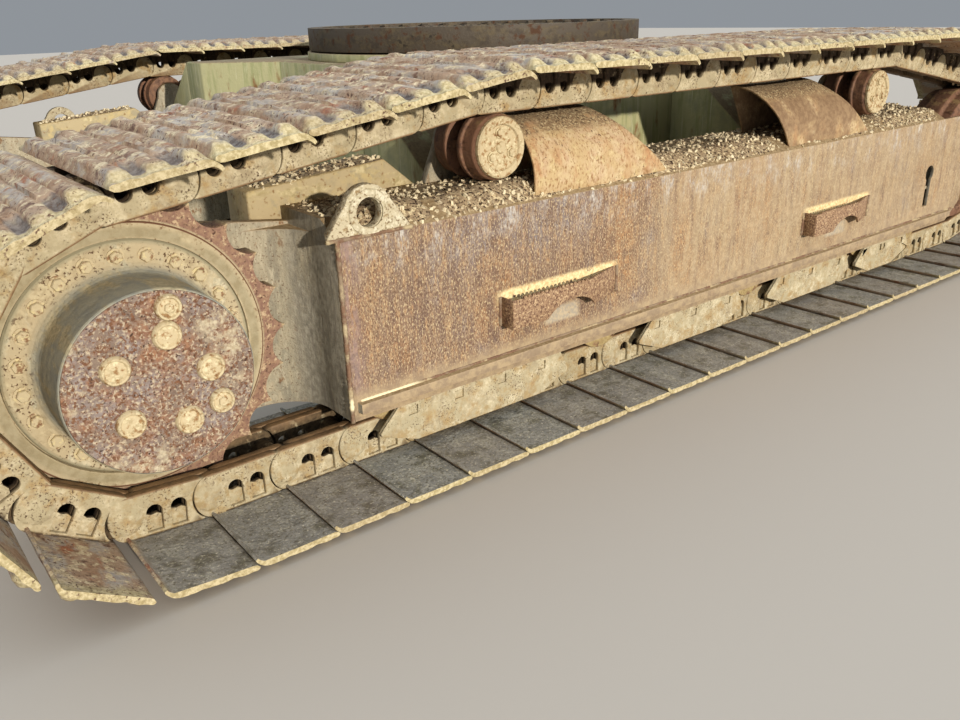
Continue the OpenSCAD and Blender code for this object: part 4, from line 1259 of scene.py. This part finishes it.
def scatterer():
    """The tree that strews a piece over faces, each copy turned and sized at random."""
    tree, start, put, _ = copying_tree(
        "scatter", {"Ground": "Geometry", "Piece": "Object", "Finish": "Material", "Density": "Float",
                    "Seed": "Int"})
    strew = tree.nodes.new("GeometryNodeDistributePointsOnFaces")
    turn = tree.nodes.new("FunctionNodeRandomValue")
    turn.data_type = "FLOAT_VECTOR"
    turn.inputs[1].default_value = (6.28, 6.28, 6.28)
    size = tree.nodes.new("FunctionNodeRandomValue")
    size.inputs[2].default_value = 0.35
    size.inputs[3].default_value = 1.4
    for a, b in ((start.outputs["Ground"], strew.inputs["Mesh"]),
                 (start.outputs["Density"], strew.inputs["Density"]),
                 (start.outputs["Seed"], strew.inputs["Seed"]),
                 (strew.outputs["Points"], put.inputs["Points"]),
                 (turn.outputs[0], put.inputs["Rotation"]),
                 (size.outputs[1], put.inputs["Scale"])):
        tree.links.new(a, b)
    return tree


crumb_form = bmesh.new()
bmesh.ops.create_cube(crumb_form, size=0.011)
for vert in crumb_form.verts:
    vert.co = (vert.co + 0.004 * noise.noise_vector(vert.co * 300)) * Vector((1, 0.8, 0.5))
crumb = shown("crumb", meshed(crumb_form, "crumb"))
crumbs = grown(shown("bed", ground_dirt.copy()), scatterer(), {
    "Piece": crumb, "Finish": dirt, "Density": 2600, "Seed": 5})
both_sides("crust", ground_dirt, dirt)
both_sides("crumbs", crumbs, dirt)

# Car body: the box between the tracks and its four legs, green paint gone dull and
# mossy, with rust along the edges and dust on the deck.
def centre_piece(name, node, width, material, body="undercarriage"):
    """A centre solid in its own finish, its edges rounded."""
    piece = shown(name, soften(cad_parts[node].data.copy(), width), material)
    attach(piece, body)
    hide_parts(node)


def body_finish():
    skin = Finish("body_green", "#aaa680", 0.8)
    skin.stain(0.25, 0.5, "#9b9a7c", 0.8, "#b2ad84", 0.06)
    skin.stain(0.03, 0.35, "#9a9a72", 0.85, stretch=(1, 1, 10), shift=2)
    skin.stain(0.015, 0.20, "#b8b594", 0.9, stretch=(1, 1, 16), shift=6)
    skin.stain(0.08, 0.16, "#7a5b3c", 0.85, "#8d6d48", 0.02, stretch=(1, 1, 3), shift=9)
    skin.coat(skin.edges(0.010), "#8a7350", 0.8, "#a0916a", 0.02)
    skin.coat(skin.within(skin.upward(), 0.10, 0.75, shift=4), "#97876a", 0.95, "#7f705a", 0.012)
    skin.roughen(0.04, 0.003)
    skin.roughen(0.006, 0.0008, detail=3)
    return skin.done()


body_green = body_finish()
for name, node, width in (("body_box", "car_body", 0.006), ("right_legs", "legs_right", 0.006),
                          ("left_legs", "legs_left", 0.006), ("seat", "ring_seat", 0.004)):
    centre_piece(name, node, width, body_green)

# Slewing ring: the fixed inner race with its gear, bolted down to the seat, and the
# outer race that turns on it and has open holes for bolts, both of dull dark steel.
def ring_finish():
    skin = Finish("ring_steel", "#564d42", 0.65, 0.2)
    skin.stain(0.15, 0.5, "#615643", 0.7, "#4b4238", 0.03, stretch=(1, 1, 0.4))
    skin.stain(0.04, 0.25, "#553c2a", 0.8, shift=5)
    skin.coat(skin.within(skin.upward(), 0.06, 0.45, shift=3), "#7b6f59", 0.9)
    skin.stain(0.03, 0.16, "#3f382f", 0.4, shift=9)
    skin.roughen(0.01, 0.0015)
    return skin.done()


ring_steel = ring_finish()
centre_piece("inner_race", "ring_inner_race", 0.002, ring_steel)
centre_piece("outer_race", "ring_outer_race", 0.003, ring_steel, "upper_race")
ring_middle = middle("ring_outer_race")


def standing(count, radius, height, first=0):
    """Places on a circle about the ring's axis, facing up."""
    turns = [math.radians(first + 360 / count * i) for i in range(count)]
    return [((ring_middle.x + radius * math.cos(a), radius * math.sin(a), height), (0, 0, a))
            for a in turns]


def bolted_down(name, head, places, material):
    """Bolts that stand on a fixed centre piece."""
    bolts = shown(name, repeated(head, places, material), material)
    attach(bolts, "undercarriage")


race_bolts = standing(36, 0.680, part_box("ring_inner_race")[1].z, 5)
bolted_down("race_bolts", hexagon(0.020, 0.013, 0.003), race_bolts, ring_steel)

# Rotary joint: a barrel on a round plate in the middle of the ring, oily, with a ring
# of bolts and ports round its head.
centre_piece("joint", "rotary_joint", 0.003, motor_paint)
plate_bolts = standing(12, 0.310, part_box("car_body")[1].z + 0.0203)
head_bolts = standing(6, 0.100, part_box("rotary_joint")[1].z)
bolted_down("joint_bolts", hexagon(0.013, 0.012, 0.003), plate_bolts + head_bolts, motor_paint)

# Floor: a plain pale sheet under the tracks.
floor_mesh = bpy.data.meshes.new("floor")
reach = 40.0
floor_mesh.from_pydata([(-reach, -reach, 0), (reach, -reach, 0), (reach, reach, 0), (-reach, reach, 0)], [],
                       [(0, 1, 2, 3)])
floor_skin = Finish("floor", "#b9b2a8", 0.95)
shown("floor", floor_mesh, floor_skin.done())
